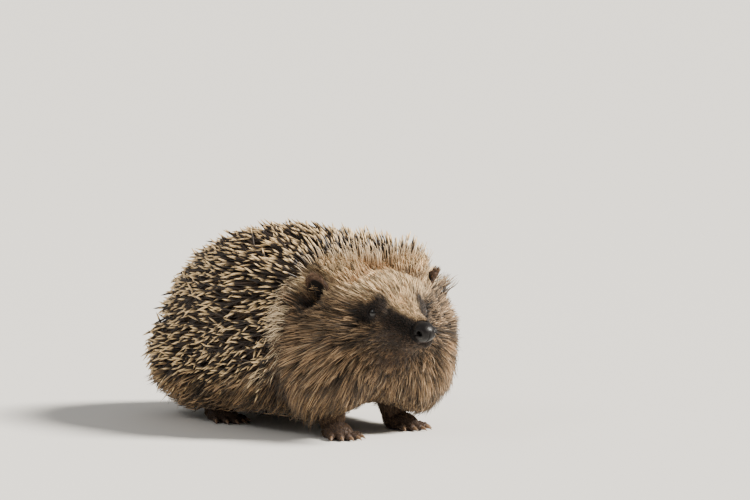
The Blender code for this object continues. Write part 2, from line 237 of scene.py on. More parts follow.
def skin_distance(points):
    """About how far points are outside the skin, and negative inside it."""
    total = coat_distance(points, without=("brow", "ear")) + skin_depth(points)
    for side in (1, -1):
        for centre, radii, blend in SKIN_MOUNDS:
            total = soft_union(total, form_distance(points, sided(centre, side), radii), blend)
        total = hollowed(total, points, (sided(EAR_CENTRE, side), EAR_BOWL_RADII), EAR_BOWL_BLEND)
    return total


def turned(points):
    """Points of the straight body, with the head's turn about the neck."""
    share = np.clip((points[..., 0] - NECK_PIVOT_X) / NECK_BEND_LENGTH + 0.5, 0.0, 1.0)
    angle = HEAD_YAW * share * share * (3.0 - 2.0 * share)
    ahead = points[..., 0] - NECK_PIVOT_X
    moved = points.copy()
    moved[..., 0] = NECK_PIVOT_X + ahead * np.cos(angle) - points[..., 1] * np.sin(angle)
    moved[..., 1] = ahead * np.sin(angle) + points[..., 1] * np.cos(angle)
    return moved


# ---------------------------------------------------------------------------- mesh arrays
class Surface:
    """Triangles with a UV for each corner and a normal for each point, in straight coordinates."""

    def __init__(self, points, triangles, uvs):
        corners = points[triangles]
        faces = np.cross(corners[:, 1] - corners[:, 0], corners[:, 2] - corners[:, 0])
        if (faces * corners[:, 0]).sum() < 0:
            triangles, uvs, faces = triangles[:, ::-1], uvs[:, ::-1], -faces
        self.points, self.triangles, self.uvs = points, triangles, uvs
        self.areas = np.linalg.norm(faces, axis=1) / 2
        self.normals = np.zeros_like(points)
        for k in range(3):
            np.add.at(self.normals, triangles[:, k], faces)
        self.normals = unit(self.normals)

    def scatter(self, count, density, rng):
        """Random roots: places, normals and UVs, with density(points) as their relative number."""
        centres = self.points[self.triangles].mean(axis=1)
        weight = np.cumsum(self.areas * density(centres))
        chosen = np.searchsorted(weight, rng.random(count) * weight[-1])
        a, b = rng.random(count), rng.random(count)
        a, b = np.where(a + b > 1, 1 - a, a), np.where(a + b > 1, 1 - b, b)
        shares = np.stack([1 - a - b, a, b], axis=1)[..., None]
        triangles = self.triangles[chosen]
        places = (self.points[triangles] * shares).sum(axis=1)
        normals = unit((self.normals[triangles] * shares).sum(axis=1))
        return places, normals, (self.uvs[chosen] * shares).sum(axis=1)


def mesh_object(name, points, faces, uvs=None, colours=None, material=None):
    """A smooth mesh object from arrays. faces is (count, corners) or a list of such blocks."""
    blocks = faces if isinstance(faces, list) else [faces]
    loops = np.concatenate([block.ravel() for block in blocks]).astype(np.int32)
    sizes = np.concatenate([np.full(len(block), block.shape[1]) for block in blocks])
    mesh = bpy.data.meshes.new(name)
    mesh.vertices.add(len(points))
    mesh.vertices.foreach_set("co", points.astype(np.float32).ravel())
    mesh.loops.add(len(loops))
    mesh.loops.foreach_set("vertex_index", loops)
    mesh.polygons.add(len(sizes))
    mesh.polygons.foreach_set("loop_start", np.concatenate([[0], np.cumsum(sizes)[:-1]]).astype(np.int32))
    if uvs is not None:
        mesh.uv_layers.new(name="OFBake").data.foreach_set("uv", uvs.astype(np.float32).ravel())
    if colours is not None:
        set_colours(mesh, colours)
    mesh.update(calc_edges=True)
    mesh.shade_smooth()
    if material is not None:
        mesh.materials.append(material)
    made = bpy.data.objects.new(name, mesh)
    bpy.context.scene.collection.objects.link(made)
    return made


def set_colours(mesh, colours):
    """Stores linear colours, one for each point, as the attribute that the materials read."""
    layer = mesh.color_attributes.new("markings", "FLOAT_COLOR", "POINT")
    opaque = np.concatenate([colours, np.ones((len(colours), 1))], axis=1)
    layer.data.foreach_set("color", opaque.astype(np.float32).ravel())


def grid_faces(rows, columns):
    """Quads between rows of points, closed round each row. Points are numbered row by row."""
    row, column = np.meshgrid(np.arange(rows - 1), np.arange(columns), indexing="ij")
    following = (column + 1) % columns
    low, high = row * columns, (row + 1) * columns
    return np.stack([low + column, low + following, high + following, high + column], -1).reshape(-1, 4)


def grid_uvs(rows, columns, rectangle, row_shares=None):
    """A UV for each corner of grid_faces, spread over rectangle (low u, low v, high u, high v)."""
    shares = np.linspace(0, 1, rows) if row_shares is None else row_shares
    row, column = np.meshgrid(np.arange(rows - 1), np.arange(columns), indexing="ij")
    u = np.stack([shares[row], shares[row], shares[row + 1], shares[row + 1]], -1)
    v = np.stack([column, column + 1, column + 1, column], -1) / columns
    low_u, low_v, high_u, high_v = rectangle
    uvs = np.stack([low_u + u * (high_u - low_u), low_v + v * (high_v - low_v)], -1)
    return uvs.reshape(-1, 4, 2)


def quads_to_triangles(quads, uvs):
    triangles = np.concatenate([quads[:, [0, 1, 2]], quads[:, [0, 2, 3]]])
    return triangles, np.concatenate([uvs[:, [0, 1, 2]], uvs[:, [0, 2, 3]]])


def sphere_grid(rows, columns):
    """Unit directions in rows from -X to +X, with both poles as tight rows."""
    angle = np.linspace(0.002, math.pi - 0.002, rows)[:, None]
    turn = np.arange(columns) * TAU / columns
    x = np.broadcast_to(-np.cos(angle), (rows, columns))
    return np.stack([x, np.sin(angle) * np.sin(turn), np.sin(angle) * np.cos(turn)], -1)


def closed_grid(name, grid, rectangle=(0.0, 0.0, 1.0, 1.0), colours=None, material=None, row_shares=None):
    """A closed object from rows of points, with a cap on the first and the last row."""
    rows, columns = grid.shape[:2]
    faces, uvs = grid_faces(rows, columns), grid_uvs(rows, columns, rectangle, row_shares)
    caps = np.stack([np.arange(columns)[::-1], np.arange(columns) + (rows - 1) * columns])
    cap_uvs = np.array([uvs[0, 0], uvs[-1, 2]])[:, None].repeat(columns, axis=1)
    loop_uvs = np.concatenate([uvs.reshape(-1, 2), cap_uvs.reshape(-1, 2)])
    return mesh_object(name, grid.reshape(-1, 3), [faces, caps], loop_uvs, colours, material)


# ---------------------------------------------------------------------------- markings
# Screen colours of the coat, as (root, tip), by region.
FUR = {
    "cheek": ((30, 22, 15), (188, 155, 118)),
    "forehead": ((172, 136, 98), (255, 228, 182)),
    "mask": ((14, 10, 8), (64, 48, 36)),
    "snout": ((22, 16, 11), (108, 84, 62)),
    "chin": ((44, 29, 19), (134, 100, 70)),
    "ruff": ((16, 11, 8), (112, 86, 60)),
    "skirt": ((24, 18, 12), (204, 168, 126)),
    "belly": ((48, 38, 29), (140, 118, 94)),
}
PALE_HAIR, LEG_HAIR, WHISKER = (236, 212, 176), ((44, 33, 25), (112, 88, 66)), (38, 28, 22)
# The first colour here is the quills' cream base painted dark brown, as painted shade deep among the quills.
QUILL_BASE_IN_SHADE, QUILL_BAND, QUILL_TIP = (96, 74, 52), (34, 22, 14), (252, 218, 165)
BROW_QUILL_BASE = (206, 176, 138)
SPINY_SKIN, CLAW_HORN = (34, 25, 20), (122, 98, 76)
# The middle colour is painted shade inside the nostrils and in the deepest pits of the nose pad.
NOSE_SKIN, NOSTRIL_SHADE, LIP_SKIN = (15, 12, 12), (7, 5, 5), (44, 28, 20)
# The middle colour is painted shade in the hollow of each ear's cup.
EAR_SKIN, EAR_BOWL_SHADE, EAR_HAIR = (66, 47, 36), (20, 13, 10), (96, 72, 52)
LID_SKIN, FOOT_SKIN = (24, 18, 16), (64, 50, 42)
EYE_RIM, IRIS = (30, 20, 15), (10, 7, 6)


def markings(points):
    """The coat's (root, tip) colours at points of the straight body."""
    x, side, z = points[..., 0], np.abs(points[..., 1]), points[..., 2]
    shape = points.shape[:-1] + (3,)
    root = np.broadcast_to(srgb(*FUR["cheek"][0]), shape).copy()
    tip = np.broadcast_to(srgb(*FUR["cheek"][1]), shape).copy()

    def add(name, share):
        nonlocal root, tip
        root = mixed(root, srgb(*FUR[name][0]), share)
        tip = mixed(tip, srgb(*FUR[name][1]), share)

    add("ruff", smooth(x, 0.062, 0.044))
    add("skirt", np.maximum(smooth(z, 0.040, 0.018), smooth(x, 0.034, 0.006)))
    add("belly", smooth(side, 0.040, 0.026) * smooth(z, 0.030, 0.020) * smooth(x, 0.056, 0.040))
    steepness = np.arctan2(z - FACE_HEIGHT, side)
    add("forehead", smooth(steepness, 0.40, 1.05) * smooth(x, 0.108, 0.092))
    add("forehead", 0.8 * smooth(z, 0.070, 0.080) * smooth(x, 0.030, 0.046))
    add("snout", smooth(x, 0.076, 0.090) * smooth(steepness, 1.15, 0.75))
    add("chin", smooth(z, 0.052, 0.044) * smooth(x, 0.066, 0.084))
    add("mask", mask_share(points))
    return root, tip


def segment_distance(points, start, end):
    """How far points, mirrored to the animal's left, are from the straight line from start to end."""
    start, along = np.array(start), np.array(end) - np.array(start)
    place = mirrored(points) - start
    share = np.clip((place @ along) / (along @ along), 0.0, 1.0)
    return np.linalg.norm(place - share[..., None] * along, axis=-1)


MASK_EYE = ((0.0735, 0.0150, 0.0665), (0.0800, 0.0115, 0.0695))
MASK_SNOUT = ((0.0800, 0.0115, 0.0675), (0.1000, 0.0062, 0.0610))


def mask_share(points):
    """1 in the dark patch round the eye, up to the inner brow, and along the snout to the nose."""
    eye = smooth(segment_distance(points, *MASK_EYE), 0.0072, 0.0038)
    snout = smooth(segment_distance(points, *MASK_SNOUT), 0.0056, 0.0024)
    return np.maximum(eye, snout * 0.92)


def skin_colours(points):
    """The skin's own colour under the coat: the fur's root colour, and dark under the spines."""
    root, tip = markings(points)
    furry = mixed(root, tip, np.full(points.shape[:-1], 0.10))
    front = smooth(points[..., 0], 0.0950, 0.0995)
    furry = mixed(furry, srgb(*NOSE_SKIN), front)
    furry = mixed(furry, srgb(*LIP_SKIN), front * smooth(points[..., 2], 0.0550, 0.0525))
    return mixed(furry, srgb(*SPINY_SKIN), smooth(above_margin(points), -0.003, 0.004))


# ---------------------------------------------------------------------------- materials
def new_material(name, roughness, specular=0.5, sheen=0.0, coat=0.0):
    made = bpy.data.materials.new(name)
    made.use_nodes = True
    shader = made.node_tree.nodes["Principled BSDF"]
    shader.inputs["Roughness"].default_value = roughness
    shader.inputs["Specular IOR Level"].default_value = specular
    shader.inputs["Sheen Weight"].default_value = sheen
    shader.inputs["Coat Weight"].default_value = coat
    return made, made.node_tree, shader


def add_node(tree, kind, **values):
    node = tree.nodes.new(kind)
    for name, value in values.items():
        if name in node.inputs:
            node.inputs[name].default_value = value
        else:
            setattr(node, name, value)
    return node


def object_coordinates(tree):
    return add_node(tree, "ShaderNodeTexCoord").outputs["Object"]


def noise(tree, scale):
    node = add_node(tree, "ShaderNodeTexNoise", Scale=scale, Detail=3.0)
    tree.links.new(object_coordinates(tree), node.inputs["Vector"])
    return node.outputs["Fac"]


def marked_colour(tree, shader, darkest, scale):
    """Base colour from the markings, mottled by noise down to darkest of their brightness."""
    colour = add_node(tree, "ShaderNodeAttribute", attribute_name="markings")
    shade = add_node(tree, "ShaderNodeMapRange")
    shade.inputs["To Min"].default_value = darkest
    shade.inputs["To Max"].default_value = 2.0 - darkest
    tree.links.new(noise(tree, scale), shade.inputs["Value"])
    multiply = add_node(tree, "ShaderNodeVectorMath", operation="SCALE")
    tree.links.new(colour.outputs["Color"], multiply.inputs[0])
    tree.links.new(shade.outputs["Result"], multiply.inputs["Scale"])
    tree.links.new(multiply.outputs["Vector"], shader.inputs["Base Color"])


def add_bump(tree, shader, height, distance, strength=1.0):
    bump = add_node(tree, "ShaderNodeBump", Distance=distance, Strength=strength)
    tree.links.new(height, bump.inputs["Height"])
    tree.links.new(bump.outputs["Normal"], shader.inputs["Normal"])


def make_materials():
    made = {}
    made["skin"], tree, shader = new_material("skin", 0.70, 0.35)
    marked_colour(tree, shader, 0.70, 260.0)
    add_bump(tree, shader, noise(tree, 900.0), 0.0004)

    made["fur"], tree, shader = new_material("fur", 0.60, 0.30, sheen=0.08)
    marked_colour(tree, shader, 0.78, 150.0)

    made["quill"], tree, shader = new_material("quill", 0.38, 0.45)
    marked_colour(tree, shader, 0.85, 120.0)

    made["nose"], tree, shader = new_material("nose", 0.38, 0.22, coat=0.07)
    shader.inputs["Coat Roughness"].default_value = 0.15
    marked_colour(tree, shader, 0.75, 500.0)
    cells = add_node(tree, "ShaderNodeTexVoronoi", Scale=2600.0)
    tree.links.new(object_coordinates(tree), cells.inputs["Vector"])
    add_bump(tree, shader, cells.outputs["Distance"], 0.00015, 0.4)

    made["eye"], tree, shader = new_material("eye", 0.07, 0.50)
    marked_colour(tree, shader, 0.80, 600.0)

    made["claw"], tree, shader = new_material("claw", 0.35, 0.45)
    marked_colour(tree, shader, 0.80, 400.0)
    add_bump(tree, shader, noise(tree, 1500.0), 0.0001)
    return made


# ---------------------------------------------------------------------------- the skin's body
RING_POINTS = 168


def ray_rows():
    """Where each ring's rays start, and their angle from straight back (0) to straight ahead (pi)."""
    rear, front = np.array(SPINE_REAR), np.array(SPINE_FRONT)
    stations = np.concatenate([np.arange(SPINE_REAR[0], 0.040, 0.0022), np.arange(0.040, 0.090, 0.0008)])
    rear_angles = np.linspace(0.004, math.pi / 2, 26)[:-1]
    front_angles = np.linspace(math.pi / 2, math.pi - 0.004, 26)[1:]
    height = np.interp(stations, (rear[0], front[0]), (rear[2], front[2]))
    starts = [rear] * len(rear_angles) + [np.array((x, 0.0, z)) for x, z in zip(stations, height)]
    starts += [front] * len(front_angles)
    angles = [*rear_angles, *[math.pi / 2] * len(stations), *front_angles]
    return np.array(starts), np.array(angles)


def cast_skin():
    """Rows of points on the skin, from the rump to the front of the muzzle."""
    starts, angles = ray_rows()
    turns = np.arange(RING_POINTS) * TAU / RING_POINTS
    ahead = np.broadcast_to(-np.cos(angles)[:, None], (len(angles), RING_POINTS))
    across = np.sin(angles)[:, None] * np.sin(turns)
    up = np.sin(angles)[:, None] * np.cos(turns)
    directions = np.stack([ahead, across, up], -1)
    reach = np.zeros(directions.shape[:2])
    for _ in range(70):
        reach -= 0.75 * skin_distance(starts[:, None] + reach[..., None] * directions)
    return starts[:, None] + reach[..., None] * directions


def skin_surface():
    """The straight skin as rows of points and as a Surface for roots."""
    grid = cast_skin()
    grid[..., 2] += mouth_fold(grid)
    rows, columns = grid.shape[:2]
    steps = np.linalg.norm(np.diff(grid, axis=0), axis=-1).mean(axis=1)
    shares = np.concatenate([[0], np.cumsum(steps)]) / steps.sum()
    faces = grid_faces(rows, columns)
    triangles, uvs = quads_to_triangles(faces, grid_uvs(rows, columns, SKIN_UV, shares))
    return grid, shares, Surface(grid.reshape(-1, 3), triangles, uvs)


def mouth_fold(grid):
    """How far points move up or down for the closed mouth's groove under the upper lip."""
    (rear_x, rear_z), (front_x, front_z) = MOUTH_LINE
    line = rear_z + (grid[..., 0] - rear_x) * (front_z - rear_z) / (front_x - rear_x)
    line = line - 0.0012 * np.sin(np.clip((grid[..., 0] - rear_x) / 0.012, 0, 1) * math.pi)
    height = grid[..., 2] - line
    present = smooth(grid[..., 0], rear_x - 0.001, rear_x + 0.003)
    return present * (0.0007 * np.exp(-((height + 0.0004) / 0.0007) ** 2))


SKIN_UV = (0.0, 0.0, 0.84, 1.0)
EAR_UV, LID_UV, TAIL_UV = {1: 4, -1: 5}, {1: 6, -1: 7}, 8


def side_uv(index):
    """One of ten small rectangles beside the body's part of the UV map."""
    return (0.86, index * 0.1 + 0.005, 0.99, index * 0.1 + 0.095)


# ---------------------------------------------------------------------------- ears and lids
def ear_turn(side):
    yaw = Matrix.Rotation(-side * EAR_YAW, 3, "Z")
    return np.array(yaw @ Matrix.Rotation(side * EAR_TILT, 3, "X"))


def ear_grid(side):
    """A cupped ear as rows from its base to its rim and back down the inside."""
    rows, columns = 30, 48
    turn = np.arange(columns) * TAU / columns
    shell = np.linspace(0.0, 1.0, rows)
    outer = np.clip(shell * 2, 0, 1)
    inner = np.clip(shell * 2 - 1, 0, 1)
    angle = np.where(shell <= 0.5, outer * 1.62, 1.62 * (1 - inner))
    thin = np.where(shell <= 0.5, 1.0, 0.86)[:, None] * np.ones(columns)
    rise = -np.cos(angle)[:, None] * np.ones(columns)
    x = np.sin(angle)[:, None] * np.sin(turn) * EAR_RADII[0]
    z = np.sin(angle)[:, None] * np.cos(turn) * EAR_RADII[2]
    z = z * np.where(z > 0, 1.0, 0.9)
    y = rise * EAR_RADII[1] + np.where(shell <= 0.5, 0.0, 0.0009 * (1 - inner ** 6))[:, None]
    fold = 0.0006 * (1.0 + np.sin(3 * turn + 0.6)) * (np.sin(angle) ** 2 * inner * (1 - inner) * 4)[:, None]
    y = y + fold + 0.0012 * np.sin(angle)[:, None] ** 3 * np.cos(2 * turn)
    local = np.stack([x * thin, side * y, z * thin], -1)
    return local @ ear_turn(side).T + sided(EAR_CENTRE, side)


def eye_basis(side):
    """The eye's outward axis, its direction towards the nose, and up, as rows."""
    outward = unit(sided(EYE_AXIS, side))
    forward = unit(np.array((1.0, 0.0, -0.25)) - outward * (outward @ np.array((1.0, 0.0, -0.25))))
    return outward, forward, np.cross(outward, forward) * side


def lid_grid(side):
    """An almond-shaped rim round the eye, as a closed tube."""
    outward, forward, up = eye_basis(side)
    columns, ring = 14, 44
    turn = np.arange(ring + 1) * TAU / ring
    spread = np.radians(60 + 6 * np.cos(2 * turn) - 3 * np.sin(turn))
    rim = np.cos(turn)[:, None] * forward + np.sin(turn)[:, None] * up
    direction = np.cos(spread)[:, None] * outward + np.sin(spread)[:, None] * rim
    around = np.arange(columns) * TAU / columns
    along_rim = unit(np.gradient(direction, axis=0))
    across = np.cross(along_rim, direction)
    thick = 0.00058 + 0.00010 * np.sin(turn)
    middle = direction * (EYE_RADIUS + 0.0001)
    offset = np.cos(around)[None, :, None] * direction[:, None]
    offset = offset + np.sin(around)[None, :, None] * across[:, None]
    grid = middle[:, None] + offset * thick[:, None, None]
    return grid + sided(EYE_CENTRE, side)


def ring_object(name, grid, rectangle):
    """A closed tube that runs round into itself. The last row repeats the first."""
    rows, columns = grid.shape[0] - 1, grid.shape[1]
    faces = grid_faces(rows + 1, columns) % (rows * columns)
    uvs = grid_uvs(rows + 1, columns, rectangle).reshape(-1, 2)
    made = mesh_object(name, grid[:rows].reshape(-1, 3), faces, uvs)
    return face_outwards(made)


def face_outwards(made):
    shape = bmesh.new()
    shape.from_mesh(made.data)
    bmesh.ops.recalc_face_normals(shape, faces=shape.faces)
    shape.to_mesh(made.data)
    shape.free()
    return made


# ---------------------------------------------------------------------------- limbs
def tube_grid(path, radii, columns=12):
    """Rows of points round a path, one radius for each of its points."""
    path, radii = np.array(path, float), np.array(radii, float)
    ahead = unit(np.gradient(path, axis=0))
    across = unit(np.cross(ahead, (0.0, 0.0, 1.0)) + 1e-9)
    level = np.abs(ahead[:, 2]) > 0.95
    across[level] = (0.0, 1.0, 0.0)
    up = np.cross(across, ahead)
    turn = np.arange(columns) * TAU / columns
    ring = np.cos(turn)[None, :, None] * across[:, None] + np.sin(turn)[None, :, None] * up[:, None]
    return path[:, None] + ring * radii[:, None, None]


def resampled(path, places):
    """Points along a path, at places that count its own points from 0."""
    return np.stack([np.interp(places, np.arange(len(path)), path[:, k]) for k in range(3)], axis=1)


def toe_path(start, heading, length, lift):
    """A toe that arches forward to the floor: places along it, and then along its claw."""
    shares = np.array((0.0, 0.18, 0.35, 0.50, 0.62, 0.70, 0.78, 0.86, 0.93, 1.0))
    heights = np.array((1.0, 1.05, 1.08, 1.00, 0.86, 0.98, 0.92, 0.78, 0.52, 0.16)) * lift
    ahead = np.array((math.cos(heading), math.sin(heading)))
    level = start[:2] + shares[:, None] * length * ahead
    return np.column_stack([level, heights])


def limb_toes(ankle, yaw, sizes):
    """Each toe's path and its radii, for one limb."""
    sole, radius = sizes["sole"], sizes["toe_radius"]
    ahead = np.array((math.cos(yaw), math.sin(yaw)))
    across = np.array((-math.sin(yaw), math.cos(yaw)))
    pad = np.array(ankle) + ahead * sole[0] * 0.55
    for i in range(TOE_COUNT):
        place = 2 * i / (TOE_COUNT - 1) - 1
        start = pad + across * (place * sole[1] * 0.80) + ahead * sole[0] * (0.62 - 0.30 * place * place)
        length = sizes["toe_length"] * (1.0 - 0.16 * place * place)
        path = toe_path(start, yaw + TOE_SPREAD * place, length, radius * 0.95)
        shares = (1.0, 0.98, 1.06, 0.92, 1.0, 0.86, 0.50, 0.42, 0.30, 0.12)
        yield path, radius * np.array(shares)


def limb_object(label, rectangle):
    """Leg, foot and toes as one closed skin with rounded joins."""
    ankle, yaw, sizes, shank = LIMBS[label]
    sole = sizes["sole"]
    ahead = np.array((math.cos(yaw), math.sin(yaw), 0.0))
    turn = np.array(Matrix.Rotation(yaw, 3, "Z"))
    pad = np.array((*ankle, sole[2] * 0.45)) + ahead * sole[0] * 0.55
    shapes = [sphere_grid(18, 24) * np.array(sole) @ turn.T + pad]
    foot_end, hip = np.array((*ankle, sole[2] * 0.5)), np.array((*ankle, LEG_TOP_HEIGHT)) + ahead * shank[1]
    shares = np.linspace(0, 1, 8)
    path = foot_end + shares[:, None] * (hip - foot_end)
    shapes.append(tube_grid(path, shank[0] * np.interp(shares, (0, 0.35, 1), (0.80, 0.88, 1.5)), 20))
    for path, radii in limb_toes(ankle, yaw, sizes):
        shapes.append(tube_grid(path[:6], radii[:6] * (1, 1, 1, 1, 1, 0.7), 10))
    parts = [closed_grid(f"{label}_{i}", grid) for i, grid in enumerate(shapes)]
    limb = joined(f"limb_{label}", parts)
    remesh = limb.modifiers.new("round", "REMESH")
    remesh.mode = "VOXEL"
    remesh.voxel_size = LIMB_VOXEL
    soften = limb.modifiers.new("soften", "SMOOTH")
    soften.iterations = 4
    apply_modifiers(limb)
    flatten_sole(limb)
    unwrap_into(limb, rectangle)
    return limb


TAIL = ((-0.0860, 0.0, 0.0330), (-0.0930, 0.0, 0.0265), (-0.1000, 0.0, 0.0205), (-0.1050, 0.0, 0.0165))


def tail_object(rectangle):
    """The short tail, as a tapered tube with a round end."""
    shares = np.linspace(0, 1, 24)
    path = resampled(np.array(TAIL), shares * (len(TAIL) - 1))
    rounding = np.sqrt(1 - np.clip(shares, 0, 0.999) ** 12)
    radii = np.interp(shares, (0, 0.4, 1), (0.0050, 0.0040, 0.0020)) * rounding
    return face_outwards(closed_grid("tail_skin", tube_grid(path, radii, 20), rectangle))


def flatten_sole(limb):
    """Presses what is near or under the floor to just above it, with its points kept apart."""
    points = point_array(limb.data)
    pressed = SOLE_ROUNDING * np.exp(np.minimum(points[:, 2] / SOLE_ROUNDING - 1.0, 0.0))
    points[:, 2] = np.maximum(points[:, 2], pressed)
    limb.data.vertices.foreach_set("co", points.astype(np.float32).ravel())
    limb.data.update()


def point_array(mesh):
    points = np.empty(len(mesh.vertices) * 3, np.float32)
    mesh.vertices.foreach_get("co", points)
    return points.reshape(-1, 3).astype(float)


def joined(name, parts):
    """Closed objects as one mesh of several shells."""
    shape = bmesh.new()
    for part in parts:
        shape.from_mesh(part.data)
        remove(part)
    mesh = bpy.data.meshes.new(name)
    shape.to_mesh(mesh)
    shape.free()
    made = bpy.data.objects.new(name, mesh)
    bpy.context.scene.collection.objects.link(made)
    return face_outwards(made)


def remove(made):
    bpy.data.objects.remove(made, do_unlink=True)


def apply_modifiers(made):
    """Replaces the object's mesh with what its modifiers make of it."""
    bpy.context.view_layer.update()
    evaluated = made.evaluated_get(bpy.context.evaluated_depsgraph_get())
    mesh = bpy.data.meshes.new_from_object(evaluated)
    made.modifiers.clear()
    made.data = mesh
    mesh.shade_smooth()


def unwrap_into(made, rectangle):
    """An automatic unwrap of the object, scaled into rectangle of the map OFBake."""
    while made.data.uv_layers:
        made.data.uv_layers.remove(made.data.uv_layers[0])
    made.data.uv_layers.new(name="OFBake")
    bpy.ops.object.select_all(action="DESELECT")
    bpy.context.view_layer.objects.active = made
    made.select_set(True)
    bpy.ops.object.mode_set(mode="EDIT")
    bpy.ops.mesh.select_all(action="SELECT")
    bpy.ops.uv.smart_project(angle_limit=math.radians(70.0), island_margin=0.01)
    bpy.ops.object.mode_set(mode="OBJECT")
    layer = made.data.uv_layers["OFBake"]
    uvs = np.empty(len(made.data.loops) * 2, np.float32)
    layer.data.foreach_get("uv", uvs)
    uvs = uvs.reshape(-1, 2)
    low_u, low_v, high_u, high_v = rectangle
    uvs = uvs * (high_u - low_u, high_v - low_v) + (low_u, low_v)
    layer.data.foreach_set("uv", uvs.astype(np.float32).ravel())


def surface_of(made):
    """The object's triangles as a Surface for roots."""
    mesh = made.data
    mesh.calc_loop_triangles()
    loops = np.empty(len(mesh.loop_triangles) * 3, np.int32)
    mesh.loop_triangles.foreach_get("loops", loops)
    points_of_loops = np.empty(len(mesh.loops), np.int32)
    mesh.loops.foreach_get("vertex_index", points_of_loops)
    uvs = np.empty(len(mesh.loops) * 2, np.float32)
    mesh.uv_layers["OFBake"].data.foreach_get("uv", uvs)
    loops = loops.reshape(-1, 3)
    return Surface(point_array(mesh), points_of_loops[loops], uvs.reshape(-1, 2)[loops].astype(float))


# ---------------------------------------------------------------------------- one skin
def enclosed_volume(made):
    """The volume that a closed mesh object encloses, in cubic metres."""
    shape = bmesh.new()
    shape.from_mesh(made.data)
    volume = shape.calc_volume()
    shape.free()
    return volume


def unite(body, others):
    """Makes one surface of the body and the closed shells that grow out of it."""
    least = enclosed_volume(body)
    other = joined("growths", others)
    union = body.modifiers.new("union", "BOOLEAN")
    union.operation = "UNION"
    union.solver = "EXACT"
    union.object = other
    apply_modifiers(body)
    remove(other)
    if enclosed_volume(body) < least:
        raise RuntimeError("the union has lost the body")


FLESH = ("trunk_spiny", "trunk_belly", "neck", "head", "lower_jaw", "tail", "ear_left", "ear_right")
LIMB_NODES = tuple(f"{part}_{label}" for label in LIMBS for part in ("leg", "foot"))


def make_skin(grid, shares, ears, limbs, material):
    """The whole skin as one surface: body, ears, lids, legs and feet."""
    skin = closed_grid("skin", turned(grid), SKIN_UV, row_shares=shares)
    face_outwards(skin)
    others = [*ears, *limbs]
    for side, label in SIDES:
        others.append(ring_object(f"lids_{label}", turned(lid_grid(side)), side_uv(LID_UV[side])))
    unite(skin, others)
    points = point_array(skin.data)
    set_colours(skin.data, united_colours(straightened(points), points))
    skin.data.materials.clear()
    skin.data.materials.append(material)
    finish_piece(skin, "skin", *FLESH, *LIMB_NODES)


def straightened(points):
    """Undoes turned()."""
    straight = points.copy()
    for _ in range(12):
        straight += points - turned(straight)
    return straight


def united_colours(straight, points):
    """The skin's colours with those of lids, ears and feet, and painted shade inside the ears' cups. straight
    is points without the head's turn.
    """
    colours = skin_colours(straight)
    lid = np.minimum(*[np.linalg.norm(straight - sided(EYE_CENTRE, side), axis=1) for side in (1, -1)])
    colours = mixed(colours, srgb(*LID_SKIN), smooth(lid, 0.0052, 0.0042))
    for side in (1, -1):
        local = (straight - sided(EAR_CENTRE, side)) @ ear_turn(side)
        ear = np.linalg.norm(local, axis=1)
        colours = mixed(colours, srgb(*EAR_SKIN), smooth(ear, 0.0130, 0.0112))
        # Painted shade: the inside of each ear's cup is darkened, as its hollow lies in shade.
        bowl_shade = smooth(side * local[:, 1], 0.0006, -0.0016) * smooth(ear, 0.0108, 0.0096)
        colours = mixed(colours, srgb(*EAR_BOWL_SHADE), bowl_shade)
    foot = smooth(points[:, 2], 0.014, 0.010) * smooth(coat_distance(straight), -0.004, -0.001)
    return mixed(colours, srgb(*FOOT_SKIN), foot)


def finish_piece(made, slot, *nodes):
    """Puts the piece on the root body, in place of nodes. slot is not used."""
    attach(made, "root")
    if nodes:
        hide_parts(*nodes)


# ---------------------------------------------------------------------------- eyes, nose and claws
def make_eye(label, side, material):
    outward, forward, up = eye_basis(side)
    ball = sphere_grid(40, 64)
    basis = np.stack([outward, forward, up])
    grid = ball @ basis * EYE_RADIUS + sided(EYE_CENTRE, side)
    off_axis = np.arccos(np.clip(ball[..., 0], -1, 1)).reshape(-1)
    iris = smooth(off_axis, math.radians(48), math.radians(36))
    colours = mixed(np.broadcast_to(srgb(*EYE_RIM), (len(iris), 3)), srgb(*IRIS), iris)
    eye = closed_grid(f"eye_ball_{label}", turned(grid), colours=colours, material=material)
    finish_piece(face_outwards(eye), "eye", f"eye_{label}")


def nostril_depth(azimuth, height):
    """How deep the pad's surface is pressed in, at angles from straight ahead and from level."""
    degree = math.radians(1.0)
    side = np.abs(azimuth) / degree
    level = height / degree
    hole = np.hypot((side - 50.0 - 0.25 * level) / 12.0, (level - 1.0) / 14.0)
    depth = 0.0026 * smooth(hole, 1.10, 0.55)
    along = np.clip((side - 56.0) / 40.0, 0.0, 1.0)
    slit = np.hypot((side - 56.0 - 40.0 * along) / 4.0, (level + 5.0 + 12.0 * along) / (4.5 - 2.5 * along))
    depth = np.maximum(depth, 0.0012 * smooth(slit, 1.3, 0.5) * (1.0 - 0.6 * along))
    wing = np.hypot((side - 71.0) / 9.0, (level - 6.0) / 20.0)
    depth = depth - 0.00060 * np.exp(-(wing**2)) - 0.00025 * np.exp(-((hole - 1.5) / 0.35) ** 2)
    groove = np.exp(-((side / 4.0) ** 2)) * smooth(level, 16.0, -8.0)
    return depth + 0.00055 * groove


